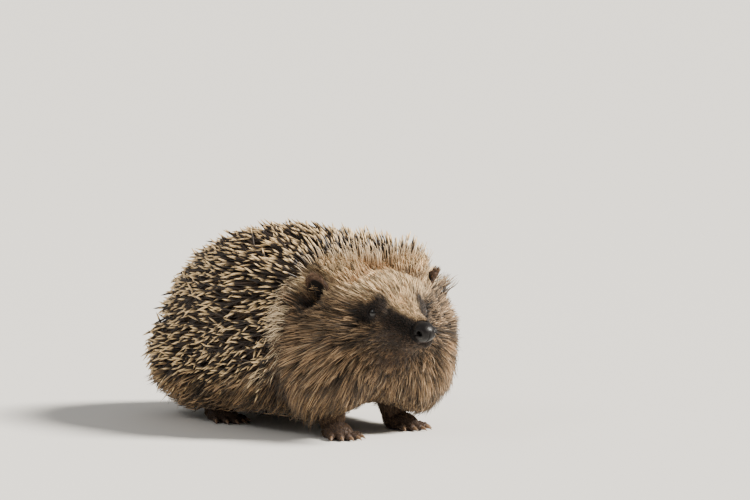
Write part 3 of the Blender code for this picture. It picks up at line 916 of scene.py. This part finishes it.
def make_nose(material):
    """The moist pad, with comma-shaped nostrils and a groove down its middle."""
    ball = sphere_grid(150, 210)
    azimuth, height = np.arctan2(ball[..., 1], ball[..., 0]), np.arcsin(np.clip(ball[..., 2], -1, 1))
    depth = nostril_depth(azimuth, height)
    grid = ball * np.array(NOSE_RADII)
    grid[..., 1] *= 1.0 + 0.10 * smooth(grid[..., 2], -0.002, 0.003)
    grid[..., 2] *= 1.0 - 0.12 * smooth(grid[..., 2], 0.0, -0.004)
    grid = grid + np.array(NOSE_CENTRE) - ball * depth[..., None]
    # Painted shade: the pad is painted darker the deeper it is pressed in, most of all inside the nostrils.
    pit_shade = smooth(depth.reshape(-1), 0.0004, 0.0016)
    colours = mixed(np.broadcast_to(srgb(*NOSE_SKIN), (len(pit_shade), 3)), srgb(*NOSTRIL_SHADE), pit_shade)
    nose = closed_grid("nose_pad", turned(grid), colours=colours, material=material)
    finish_piece(face_outwards(nose), "nose", "nose")


def make_claws(material):
    """All the claws as one piece of closed curved cones."""
    parts = []
    for label, (ankle, yaw, sizes, _) in LIMBS.items():
        for i, (path, _) in enumerate(limb_toes(ankle, yaw, sizes)):
            horn = resampled(path, np.linspace(5.0, 9.0, 12))
            horn[:, 2] = np.maximum(horn[:, 2], 0.0003)
            width = np.interp(np.linspace(0, 1, 12), (0, 0.5, 1), (0.0009, 0.0007, 0.00012))
            parts.append(closed_grid(f"claw_{label}_{i}", tube_grid(horn, width, 10)))
    claws = joined("claws", parts)
    points = point_array(claws.data)
    set_colours(claws.data, np.broadcast_to(srgb(*CLAW_HORN), (len(points), 3)))
    unwrap_into(claws, (0.0, 0.0, 1.0, 1.0))
    claws.data.shade_smooth()
    claws.data.materials.append(material)
    finish_piece(claws, "skin")


# ---------------------------------------------------------------------------- strands
PATCH = 0.003


def strand_piece(name, paths, radii, sides, colours, root_uvs, material, slot):
    """One joined mesh of closed tapered strands.

    paths is (strands, steps, 3) and its last step is the tip. radii is (strands, steps - 1), and
    colours is (strands, steps, 3). Each strand's UVs fill a small patch at its root's UV.
    """
    count, steps = paths.shape[:2]
    rings = steps - 1
    along = unit(np.gradient(paths, axis=1))[:, :-1]
    across = unit(np.cross(along, np.roll(along[:, :1], 1, axis=2) + (0.31, 0.17, 0.43)))
    up = np.cross(across, along)
    turn = np.arange(sides) * TAU / sides
    ring = np.cos(turn)[:, None] * across[:, :, None] + np.sin(turn)[:, None] * up[:, :, None]
    points = paths[:, :-1, None] + ring * radii[..., None, None]
    each = rings * sides + 1
    points = np.concatenate([points.reshape(count, rings * sides, 3), paths[:, -1:]], axis=1)
    shown = np.concatenate([colours[:, :-1].repeat(sides, axis=1), colours[:, -1:]], axis=1)

    walls = grid_faces(rings, sides)[:, ::-1]
    edge = np.arange(sides)
    last = (rings - 1) * sides
    tips = np.stack([last + (edge + 1) % sides, last + edge, np.full(sides, each - 1)], -1)
    base = np.arange(sides)[None]
    shift = (np.arange(count) * each)[:, None, None]
    faces = [(block + shift).reshape(-1, block.shape[1]) for block in (walls, tips, base)]

    row = np.repeat(np.arange(rings - 1), sides)
    column = np.tile(edge, rings - 1)
    wall_u = np.stack([column, column + 1, column + 1, column], -1)[:, ::-1] / sides
    wall_v = np.stack([row, row, row + 1, row + 1], -1)[:, ::-1] / rings
    tip_u = np.stack([edge + 1, edge, edge + 0.5], -1) / sides
    tip_v = np.tile(((rings - 1) / rings, (rings - 1) / rings, 1.0), (sides, 1))
    locals_ = [np.stack([wall_u, wall_v], -1), np.stack([tip_u, tip_v], -1)]
    locals_.append(np.zeros((1, sides, 2)) + (0.5, 0.0))
    corner = root_uvs[:, None, None] - PATCH / 2
    uvs = np.concatenate([(corner + PATCH * block).reshape(-1, 2) for block in locals_])
    finish_piece(mesh_object(name, points.reshape(-1, 3), faces, uvs, shown.reshape(-1, 3), material), slot)


def tapered(width, t, count, shares):
    """The same radii for every strand, from shares of width at its root, middle and tip."""
    return width * np.interp(t[:-1], (0.0, 0.5, 1.0), shares) * np.ones((count, 1))


def piled(strands):
    """Several sets of (paths, radii, colours, root UVs) as one."""
    return (np.concatenate(values) for values in zip(*strands))


def strand_triangles(steps, sides):
    return 2 * sides * (steps - 2) + sides + sides - 2


MOST_TRIANGLES = 195_000


def strand_pieces(name, paths, radii, sides, colours, root_uvs, material, slot):
    """The strands as pieces under the triangle limit, parted along the body."""
    each = strand_triangles(paths.shape[1], sides)
    pieces = math.ceil(len(paths) * each / MOST_TRIANGLES)
    order = np.argsort(paths[:, 0, 0])
    for i, some in enumerate(np.array_split(order, pieces)):
        label = name if pieces == 1 else f"{name}_{i + 1}"
        strand_piece(label, paths[some], radii[some], sides, colours[some], root_uvs[some], material, slot)


def laid(direction, normals):
    """The direction along the skin, as unit vectors."""
    return unit(direction - (direction * normals).sum(-1, keepdims=True) * normals)


def spun(flow, normals, angles):
    """Directions along the skin, turned by angles about the normals."""
    return np.cos(angles)[:, None] * flow + np.sin(angles)[:, None] * np.cross(normals, flow)


def reach_coat(roots, normals, flow, lengths, wanted, most=0.92):
    """How high each strand's tip stands above its root for the tip to come to the coat's surface."""
    lowest = np.minimum(0.10 * lengths + 0.0004, 0.5 * lengths)
    height = np.clip(-coat_distance(roots), lowest, most * lengths)
    for _ in range(5):
        run = np.sqrt(lengths**2 - height**2)
        tips = roots + normals * height[:, None] + flow * run[:, None]
        height = np.clip(height - 0.8 * (coat_distance(tips) - wanted), lowest, most * lengths)
    return height, np.sqrt(lengths**2 - height**2)


def stand_on_floor(paths, clearance=0.0012):
    paths[..., 2] = np.maximum(paths[..., 2], clearance)
    return paths


# ---------------------------------------------------------------------------- spines
QUILL_LENGTH = 0.0215
QUILL_RADIUS = 0.00061
QUILL_COUNT = 4100
QUILL_SOURCE = (0.105, 0.0, 0.105)
QUILL_SPACING = 0.0019


def spread_out(places, spacing):
    """The indices of places that keep at least spacing from those before them."""
    kept, cells = [], {}
    keys = np.floor(places / spacing).astype(int)
    for i, (key, place) in enumerate(zip(map(tuple, keys), places)):
        near = [j for dx in (-1, 0, 1) for dy in (-1, 0, 1) for dz in (-1, 0, 1)
                for j in cells.get((key[0] + dx, key[1] + dy, key[2] + dz), ())]
        if near and (np.linalg.norm(places[near] - place, axis=1) < spacing).any():
            continue
        cells.setdefault(key, []).append(i)
        kept.append(i)
    return np.array(kept)


def brow_share(points):
    """1 on the front edge of the spines, over the forehead, where they stand up."""
    return smooth(points[..., 0], 0.024, 0.042) * smooth(points[..., 2], 0.074, 0.084)


def spiny(points):
    """How far roots are inside the spiny skin. Spines lean back, so it starts ahead of their tips' edge."""
    x, z = points[..., 0], points[..., 2]
    ahead = 0.0085 * smooth(z, 0.030, 0.050) * smooth(x, -0.040, 0.000) * smooth(z, 0.082, 0.066)
    behind_ear = EAR_CENTRE[0] - 0.0085 - x + 2.0 * np.maximum(np.abs(z - EAR_CENTRE[2]) - 0.0125, 0.0)
    behind_ear = behind_ear + 3.0 * np.maximum(0.0250 - np.abs(points[..., 1]), 0.0)
    return np.minimum(above_margin(points) + ahead + 0.0050 * brow_share(points), behind_ear)


def quill_flow(points):
    """Spines lie back from a point over the forehead."""
    away = points - np.array(QUILL_SOURCE)
    return unit(away * (1.0, 0.75, 0.85))


def make_quills(surface, material):
    rng = np.random.default_rng(SEED)

    def density(points):
        ear = distance_to(mirrored(points), EAR_CENTRE)
        dense = 1.0 + 0.9 * brow_share(points)
        return smooth(spiny(points), -0.0010, 0.0020) * dense * smooth(ear, 0.0085, 0.0110)

    places, normals, uvs = surface.scatter(QUILL_COUNT * 3, density, rng)
    kept = spread_out(places, QUILL_SPACING)[:QUILL_COUNT]
    places, normals, uvs = places[kept], normals[kept], uvs[kept]
    count = len(places)
    brow = brow_share(places)
    edge = smooth(spiny(places), 0.012, 0.0)
    lengths = QUILL_LENGTH * (1.0 - 0.14 * brow - 0.16 * edge) * rng.normal(1.0, 0.09, count).clip(0.72, 1.2)
    flow = spun(laid(quill_flow(places), normals), normals, rng.normal(0.0, 0.44 - 0.15 * brow, count))
    wanted = rng.normal(-0.0006, 0.0018, count)
    height, run = reach_coat(places, normals, flow, lengths, wanted, most=0.80)
    slope = np.arctan2(height, run)
    slope = mixed_scalar(slope, rng.normal(1.10, 0.15, count), brow * 0.90)
    height, run = lengths * np.sin(slope), lengths * np.cos(slope)
    t = np.array((0.0, 0.12, 0.38, 0.70, 0.79, 0.90, 1.0))
    bend = rng.normal(0.0, 0.0006, count)[:, None, None] * (t * (1 - t) * 4)[None, :, None]
    starts = places - normals * 0.0010
    paths = starts[:, None] + normals[:, None] * (height[:, None] * t)[..., None]
    paths = paths + flow[:, None] * (run[:, None] * t)[..., None] + bend * normals[:, None]
    thick = np.interp(t[:-1], (0.0, 0.12, 0.35, 0.75, 0.88), (0.55, 0.80, 1.0, 0.95, 0.60))
    radii = QUILL_RADIUS * thick * rng.normal(1.0, 0.08, count).clip(0.75, 1.25)[:, None]

    place = t[None] + rng.normal(0.0, 0.03, count)[:, None]
    # Painted shade: the dark band reaches far down towards the root and the base below it is dark, for the
    # shade among the quills; nearer the tip the band is the quills' own.
    band_and_shade = smooth(place, 0.22, 0.40) * smooth(place, 0.86, 0.77)
    light = rng.normal(1.0, 0.12, count).clip(0.65, 1.25)[:, None, None]
    base = mixed(srgb(*QUILL_BASE_IN_SHADE), srgb(*BROW_QUILL_BASE), brow)
    cream = mixed(np.repeat(base[:, None], place.shape[1], axis=1), srgb(*QUILL_TIP), smooth(place, 0.5, 0.8))
    dark = (rng.random(count) < 0.06)[:, None] * smooth(place, 0.3, 0.5)
    colours = mixed(cream, srgb(*QUILL_BAND), np.maximum(band_and_shade, dark)) * light
    paths = turned(stand_on_floor(paths))
    strand_pieces("spines", paths, radii, 6, colours, uvs, material, "spines")


# ---------------------------------------------------------------------------- fur
FUR_SOURCE = (0.112, 0.0, 0.058)
FACE_HAIRS, BODY_HAIRS, GUARD_HAIRS, WHISKERS = 30_000, 14_000, 620, 44
EAR_HAIRS, LEG_HAIRS = 900, 1500
FACE_WIDTH, BODY_WIDTH, GUARD_WIDTH, WHISKER_WIDTH = 0.00022, 0.00026, 0.00020, 0.00011
EAR_HAIR_WIDTH, LEG_HAIR_WIDTH = 0.00010, 0.00017


def fur_length(points):
    """How long the fur is, from very short on the snout to the long skirt."""
    side = mirrored(points)
    from_nose = distance_to(points, NOSE_TIP)
    length = np.interp(from_nose, (0.008, 0.016, 0.026, 0.036, 0.046, 0.058, 0.072, 0.090),
                       (0.0010, 0.0016, 0.0030, 0.0066, 0.0110, 0.0150, 0.0185, 0.0210))
    forehead = smooth(points[..., 2], 0.066, 0.078)
    length = mixed_scalar(length, np.minimum(length, 0.0120), forehead)
    length = mixed_scalar(length, np.minimum(length, 0.0085), smooth(points[..., 2], 0.074, 0.080))
    belly = smooth(side[..., 1], 0.036, 0.024) * smooth(points[..., 2], 0.034, 0.022)
    length = mixed_scalar(length, np.minimum(length, 0.0090), belly)
    eye = distance_to(side, EYE_CENTRE)
    length = mixed_scalar(length, np.minimum(length, 0.0018), smooth(eye, 0.0090, 0.0050))
    ear = distance_to(side, EAR_CENTRE)
    before_ear = np.clip(ear - np.where(points[..., 1] < 0.0, 0.0035, -0.0040), 0.0025, 1.0)
    return np.where(points[..., 0] > EAR_CENTRE[0] - 0.004, np.minimum(length, before_ear), length)


def fur_flow(points):
    """Back from the nose over the face, and down round the cheeks and flanks."""
    x, z = points[..., 0], points[..., 2]
    away = unit(points - np.array(FUR_SOURCE))
    back = np.broadcast_to(np.array((-1.0, 0.0, -0.10)), points.shape)
    flow = mixed(away, back, smooth(x, 0.046, 0.010))
    fall = smooth(z, 0.062, 0.018) * mixed_scalar(0.42, 1.25, smooth(x, -0.010, 0.046))
    fall = fall * smooth(x, 0.100, 0.080)
    flow = flow + fall[..., None] * np.array((0.0, 0.0, -1.0))
    return unit(flow)


def clear_of_features(points):
    """0 over the eyes and the nose pad, where no fur grows, and 1 elsewhere."""
    side = mirrored(points)
    eye = smooth(distance_to(side, EYE_CENTRE), 0.0034, 0.0040)
    pad = smooth(form_distance(side, NOSE_CENTRE, NOSE_RADII), 0.0000, 0.0007)
    return eye * pad


def ear_gap(points):
    """0 where an ear stands, and 1 elsewhere."""
    side = mirrored(points)
    return smooth(distance_to(side, EAR_CENTRE), 0.0055, 0.0075)


def furry(points):
    """1 where fur grows, and 0 under the spines, on the eyes, nose pad and ears."""
    return smooth(spiny(points), 0.0025, -0.0015) * clear_of_features(points) * ear_gap(points)


def fur_paths(roots, normals, flow, lengths, wanted, t, lift_end=0.60):
    """Strands that rise from the skin to the coat's surface and then lie along it."""
    height, run = reach_coat(roots, normals, flow, lengths, wanted)
    rise = np.sin(np.clip(t / lift_end, 0.0, 1.0) * math.pi / 2) - 0.05 * smooth(t, 0.7, 1.0)
    sunk = np.minimum(0.0004, 0.15 * lengths)[:, None]
    paths = (roots - normals * sunk)[:, None] + normals[:, None] * (height[:, None] * rise)[..., None]
    paths = paths + flow[:, None] * (run[:, None] * t ** 1.2)[..., None]
    sag = (lengths**2 * 5.0)[:, None] * t**2
    paths[..., 2] -= sag * smooth(roots[:, 2], 0.09, 0.03)[:, None]
    return paths


def gathered(paths, roots, normals, lengths, t, spacing, pull, rng):
    """Strands drawn together into pointed locks, and the number of each one's lock."""
    count = len(roots)
    leaders = spread_out_by(roots, spacing)
    tree = search_tree(roots[leaders])
    nearest = np.array([tree.find(root)[1] for root in roots])
    lead = leaders[nearest]
    share = pull * rng.uniform(0.45, 1.0, count)[:, None, None] * (t**1.3)[None, :, None]
    same_side = ((normals * normals[lead]).sum(-1) > 0.5)[:, None, None]
    paths = paths + same_side * share * (paths[lead] - paths)
    spread = rng.normal(0.0, 1.0, (count, 1, 3)) * (lengths * 0.022)[:, None, None] * t[None, :, None]
    wave = rng.normal(0.0, 1.0, (count, 1, 3)) * (lengths * 0.030)[:, None, None]
    return paths + spread + wave * (t * (1 - t) * 4)[None, :, None], nearest, len(leaders)


def search_tree(places):
    tree = KDTree(len(places))
    for i, place in enumerate(places):
        tree.insert(place, i)
    tree.balance()
    return tree


def spread_out_by(places, spacings):
    """As spread_out, in the same order, with a spacing of its own for each kept place."""
    tree = search_tree(places)
    taken = np.zeros(len(places), bool)
    kept = []
    for i, place in enumerate(places):
        if taken[i]:
            continue
        kept.append(i)
        for _, j, _ in tree.find_range(place, spacings[i]):
            taken[j] = True
    return np.array(kept)


def shaded_hair_share(points):
    """The share of dark hairs among the pale-tipped ones: partly the coat's own dark hairs and partly painted
    shade in the gaps between locks, fewer on the top of the head.
    """
    light = smooth(np.arctan2(points[..., 2] - FACE_HEIGHT, np.abs(points[..., 1])), 0.45, 0.95)
    light = np.maximum(light, smooth(points[..., 2], 0.070, 0.080))
    return mixed_scalar(0.42, 0.18, light)


def fur_strands(surface, count, density, rng, steps, pull, width, tangle):
    """Paths, radii, colours and root UVs of fur that is gathered into locks."""
    roots, normals, uvs = surface.scatter(count, density, rng)
    lengths = fur_length(roots) * rng.normal(1.0, 0.15, count).clip(0.55, 1.45)
    flow = spun(laid(fur_flow(roots), normals), normals, rng.normal(0.0, tangle, count))
    wanted = rng.normal(-0.0004, 0.0007, count) * (lengths / 0.01).clip(0.2, 1.6)
    wanted = wanted - 0.0055 * smooth(roots[:, 2], 0.070, 0.080) + 0.0025 * smooth(roots[:, 2], 0.028, 0.016)
    t = np.linspace(0.0, 1.0, steps)
    paths = fur_paths(roots, normals, flow, lengths, wanted, t)
    spacing = 0.0007 + 0.14 * lengths
    paths, lock, locks = gathered(paths, roots, normals, lengths, t, spacing, pull, rng)

    taper = np.interp(t[:-1], (0.0, 0.5, 1.0), (0.8, 1.0, 0.30))
    radii = width * (0.34 + 0.66 * (lengths / 0.013).clip(0.05, 1.4))[:, None] * taper
    root_colour, tip_colour = markings(roots)
    pale = (rng.random(count) < 0.10)[:, None] * 0.55
    bleached = srgb(*PALE_HAIR) * tip_colour.max(axis=1, keepdims=True) * 1.6
    tip_colour = tip_colour + pale * (bleached - tip_colour)
    # Painted shade: some hairs, and whole locks, are darkened to stand for the shade in the gaps between
    # locks, partly also the coat's own dark hairs.
    shaded_share = shaded_hair_share(roots)
    gap_shade = np.where(rng.random(count) < shaded_share, 0.26, 1.0)
    gap_shade = gap_shade * np.where(rng.random(locks)[lock] < shaded_share * 0.7, 0.45, 1.0)
    tone = gap_shade * (1.0 + rng.normal(0.0, 0.18, locks)[lock] + rng.normal(0.0, 0.18, count)).clip(0.4, 1.7)
    share = smooth(t, 0.15, 0.80)[None] * rng.uniform(0.8, 1.0, count)[:, None]
    colours = mixed(root_colour[:, None].repeat(steps, 1), tip_colour[:, None].repeat(steps, 1), share)
    return stand_on_floor(paths), radii, colours * tone[:, None, None], uvs


def make_fur(surface, material):
    rng = np.random.default_rng(SEED + 1)

    def face(points):
        return furry(points) * smooth(points[..., 0], 0.042, 0.050) / (fur_length(points) + 0.0007)

    def mane(points):
        return furry(points) * smooth(points[..., 0], 0.054, 0.040) / (fur_length(points) + 0.0012)

    paths, radii, colours, uvs = fur_strands(surface, FACE_HAIRS, face, rng, 5, 0.62, FACE_WIDTH, 0.13)
    strand_pieces("face_fur", turned(paths), radii, 3, colours, uvs, material, "face_fur")
    paths, radii, colours, uvs = fur_strands(surface, BODY_HAIRS, mane, rng, 6, 0.72, BODY_WIDTH, 0.15)
    strand_pieces("body_fur", turned(paths), radii, 3, colours, uvs, material, "fur")


def make_guard_hairs(surface, material):
    """Long pale hairs along the edge of the spines, which sweep back over them."""
    rng = np.random.default_rng(SEED + 2)
    count, steps = GUARD_HAIRS, 7

    def density(points):
        edge = smooth(np.abs(spiny(points) + 0.0010), 0.0050, 0.0010)
        high = mixed_scalar(0.15, 1.0, smooth(points[..., 2], 0.045, 0.062))
        ear = distance_to(mirrored(points), EAR_CENTRE)
        high = high * (1.0 - 0.7 * brow_share(points))
        return edge * high * smooth(points[..., 0], 0.004, 0.020) * smooth(ear, 0.0100, 0.0125)

    roots, normals, uvs = surface.scatter(count, density, rng)
    lengths = 0.0185 * rng.normal(1.0, 0.18, count).clip(0.6, 1.4)
    lengths = lengths * mixed_scalar(1.0, 0.75, brow_share(roots))
    flow = mixed(fur_flow(roots), quill_flow(roots), rng.uniform(0.1, 0.6, count))
    flow = spun(laid(flow, normals), normals, rng.normal(0.0, 0.20, count))
    t = np.linspace(0.0, 1.0, steps)
    paths = fur_paths(roots, normals, flow, lengths, rng.normal(0.0008, 0.0012, count), t, lift_end=0.8)
    radii = tapered(GUARD_WIDTH, t, count, (0.8, 1.0, 0.3))
    root_colour, _ = markings(roots)
    tone = rng.normal(0.9, 0.16, count).clip(0.5, 1.2)[:, None, None]
    share = np.broadcast_to(smooth(t, 0.10, 0.55)[None], (count, steps))
    pale = np.broadcast_to(srgb(*PALE_HAIR), (count, steps, 3))
    colours = mixed(root_colour[:, None].repeat(steps, 1), pale, share) * tone
    strand_piece("guard_hairs", turned(stand_on_floor(paths)), radii, 3, colours, uvs, material, "fur")


def make_whiskers(surface, material):
    rng = np.random.default_rng(SEED + 3)
    count, steps = WHISKERS, 9

    def density(points):
        along = smooth(points[..., 0], 0.084, 0.088) * smooth(points[..., 0], 0.100, 0.096)
        return along * smooth(np.abs(points[..., 2] - 0.0565), 0.0050, 0.0030) * clear_of_features(points)

    roots, _, uvs = surface.scatter(count, density, rng)
    lengths = rng.uniform(0.014, 0.026, count)
    outward = np.sign(roots[:, 1])[:, None] * np.array((0.0, 1.0, 0.0))
    away = unit(np.array((-0.25, 0.0, -0.18)) + outward + rng.normal(0, 0.22, (count, 3)))
    t = np.linspace(0.0, 1.0, steps)
    paths = roots[:, None] + away[:, None] * (lengths[:, None] * t)[..., None]
    droop = np.array((-0.5, 0.0, -0.5)) * lengths[:, None] * 0.5
    paths = paths + droop[:, None] * (t**2)[None, :, None]
    radii = tapered(WHISKER_WIDTH, t, count, (1.0, 0.65, 0.3))
    colours = np.broadcast_to(srgb(*WHISKER), (count, steps, 3))
    strand_piece("whiskers", turned(paths), radii, 3, colours, uvs, material, "face_fur")


def make_ear_fur(material):
    """Short hairs on the rims and backs of the ears."""
    rng = np.random.default_rng(SEED + 5)
    made = []
    for side in (1, -1):
        grid = ear_grid(side)
        quads = grid_faces(*grid.shape[:2])
        triangles, uvs = quads_to_triangles(quads, grid_uvs(*grid.shape[:2], side_uv(EAR_UV[side])))
        ear = Surface(grid.reshape(-1, 3), triangles, uvs)
        turn, centre = ear_turn(side), sided(EAR_CENTRE, side)

        def density(points):
            depth = side * ((points - centre) @ turn)[..., 1]
            return smooth(depth, -0.0026, -0.0006)

        count, steps = EAR_HAIRS, 4
        roots, normals, uvs = ear.scatter(count, density, rng)
        local = (roots - centre) @ turn
        outward = np.stack([local[:, 0], np.full(count, side * 0.004), local[:, 2]], -1) @ turn.T
        flow = unit(unit(outward) + rng.normal(0.0, 0.25, (count, 3)) + (-0.35, 0.0, 0.1))
        lengths = rng.uniform(0.0014, 0.0032, count)
        t = np.linspace(0.0, 1.0, steps)
        paths = (roots - normals * 0.0002)[:, None] + flow[:, None] * (lengths[:, None] * t)[..., None]
        radii = tapered(EAR_HAIR_WIDTH, t, count, (0.9, 1.0, 0.3))
        tone = rng.normal(1.0, 0.25, count).clip(0.4, 1.6)[:, None, None]
        colours = np.broadcast_to(srgb(*EAR_HAIR), (count, steps, 3)) * tone
        made.append((paths, radii, colours, uvs))
    paths, radii, colours, uvs = piled(made)
    strand_piece("ear_fur", turned(paths), radii, 3, colours, uvs, material, "face_fur")


def make_limb_fur(limbs, material):
    """Short fur on the legs, shorter on the feet."""
    rng = np.random.default_rng(SEED + 4)
    made = []
    for label, surface in limbs.items():
        ankle, yaw = LIMBS[label][:2]
        ahead = np.array((math.cos(yaw), math.sin(yaw), 0.0))

        def density(points):
            outside = smooth(skin_distance(straightened(points)), -0.002, 0.000)
            toes = (points[..., :2] - np.array(ankle)) @ ahead[:2]
            return outside * smooth(points[..., 2], 0.0018, 0.0030) * smooth(toes, 0.0200, 0.0150)

        count, steps = LEG_HAIRS, 4
        roots, normals, uvs = surface.scatter(count, density, rng)
        lengths = np.interp(roots[:, 2], (0.004, 0.008, 0.013, 0.022), (0.0018, 0.0024, 0.0050, 0.0080))
        lengths = lengths * rng.normal(1.0, 0.15, count).clip(0.6, 1.4)
        flow = np.array((0.0, 0.0, -1.0)) + ahead * smooth(roots[:, 2], 0.014, 0.007)[:, None] * 1.5
        flow = spun(laid(flow, normals), normals, rng.normal(0.0, 0.15, count))
        t = np.linspace(0.0, 1.0, steps)
        height = lengths * 0.28
        rise = np.sin(np.clip(t / 0.6, 0.0, 1.0) * math.pi / 2)
        paths = (roots - normals * 0.0003)[:, None] + normals[:, None] * (height[:, None] * rise)[..., None]
        paths = paths + flow[:, None] * (lengths[:, None] * 0.95 * t)[..., None]
        radii = tapered(LEG_HAIR_WIDTH, t, count, (0.9, 1.0, 0.3))
        share = np.broadcast_to(smooth(t, 0.1, 0.9)[None], (count, steps))
        low, high = (np.broadcast_to(srgb(*colour), (count, steps, 3)) for colour in LEG_HAIR)
        colours = mixed(low, high, share) * rng.normal(1.0, 0.22, count).clip(0.4, 1.6)[:, None, None]
        made.append((stand_on_floor(paths, 0.0004), radii, colours, uvs))
    paths, radii, colours, uvs = piled(made)
    strand_piece("leg_fur", paths, radii, 3, colours, uvs, material, "fur")


# ---------------------------------------------------------------------------- floor, light and camera
FLOOR_REACH, FLOOR_COLOUR = 60.0, (0.80, 0.79, 0.76, 1.0)


def make_floor():
    corners = FLOOR_REACH * np.array([(-1, -1, 0), (1, -1, 0), (1, 1, 0), (-1, 1, 0)], float)
    floor = mesh_object("floor", corners, np.array([[0, 1, 2, 3]]))
    made, _, shader = new_material("floor", 0.85, 0.2)
    shader.inputs["Base Color"].default_value = FLOOR_COLOUR
    floor.data.materials.append(made)


def light(name, kind, place, target, power, colour, **values):
    data = bpy.data.lights.new(name, kind)
    data.energy, data.color = power, colour
    for key, value in values.items():
        setattr(data, key, value)
    made = bpy.data.objects.new(name, data)
    made.location = place
    made.rotation_mode = "QUATERNION"
    made.rotation_quaternion = (Vector(target) - Vector(place)).to_track_quat("-Z", "Y")
    bpy.context.scene.collection.objects.link(made)


LIT_POINT = (0.02, 0.0, 0.05)
KEY_PLACE, KEY_STRENGTH, KEY_COLOUR = (0.66, 0.60, 0.80), 10.0, (1.0, 0.94, 0.85)
SOFTBOX_PLACE, SOFTBOX_WATTS, STUDIO_COLOUR = (-0.10, -1.35, 1.30), 5.0, (1.0, 0.98, 0.95)
WORLD_STRENGTH = 0.38


def make_lights():
    light("key", "SUN", KEY_PLACE, LIT_POINT, KEY_STRENGTH, KEY_COLOUR, angle=math.radians(16))
    light("softbox", "AREA", SOFTBOX_PLACE, LIT_POINT, SOFTBOX_WATTS, STUDIO_COLOUR, shape="DISK", size=0.5)
    world = bpy.data.worlds.new("studio")
    world.use_nodes = True
    background = world.node_tree.nodes["Background"]
    background.inputs["Color"].default_value = (*STUDIO_COLOUR, 1.0)
    background.inputs["Strength"].default_value = WORLD_STRENGTH
    bpy.context.scene.world = world


def make_camera():
    """The photograph's view: SIGHTED_POINT, on the turned head, falls on SIGHTED_PIXEL."""
    a, e = VIEW_AZIMUTH, VIEW_ELEVATION
    back = Vector((math.sin(a) * math.cos(e), -math.cos(a) * math.cos(e), math.sin(e)))
    right = Vector((math.cos(a), math.sin(a), 0.0))
    up = back.cross(right)
    per_pixel = SENSOR_MM / LENS_MM / IMAGE_SIZE[0]
    distance = 1.0 / (PIXELS_PER_METRE * per_pixel)
    across = (SIGHTED_PIXEL[0] - IMAGE_SIZE[0] / 2) * per_pixel
    down = (SIGHTED_PIXEL[1] - IMAGE_SIZE[1] / 2) * per_pixel
    sighted = Vector(turned(np.array(SIGHTED_POINT)))
    data = bpy.data.cameras.new("photo_view")
    data.lens, data.sensor_width = LENS_MM, SENSOR_MM
    data.clip_start, data.clip_end = 0.1, 50.0
    camera = bpy.data.objects.new("photo_view", data)
    camera.location = sighted - distance * (-back + across * right - down * up)
    camera.rotation_mode = "QUATERNION"
    camera.rotation_quaternion = (-back).to_track_quat("-Z", "Y")
    bpy.context.scene.collection.objects.link(camera)
    bpy.context.scene.camera = camera


# ---------------------------------------------------------------------------- assembly
def main():
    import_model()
    materials = make_materials()
    make_camera()
    make_floor()
    make_lights()
    grid, shares, surface = skin_surface()
    ears = []
    for side, label in SIDES:
        ear = closed_grid(f"ear_skin_{label}", turned(ear_grid(side)), side_uv(EAR_UV[side]))
        ears.append(face_outwards(ear))
        make_eye(label, side, materials["eye"])
    limbs = [limb_object(label, side_uv(i)) for i, label in enumerate(LIMBS)]
    limb_surfaces = {label: surface_of(limb) for label, limb in zip(LIMBS, limbs)}
    make_skin(grid, shares, ears, [*limbs, tail_object(side_uv(TAIL_UV))], materials["skin"])
    make_nose(materials["nose"])
    make_claws(materials["claw"])
    make_quills(surface, materials["quill"])
    make_fur(surface, materials["fur"])
    make_guard_hairs(surface, materials["fur"])
    make_whiskers(surface, materials["fur"])
    make_ear_fur(materials["fur"])
    make_limb_fur(limb_surfaces, materials["fur"])


main()
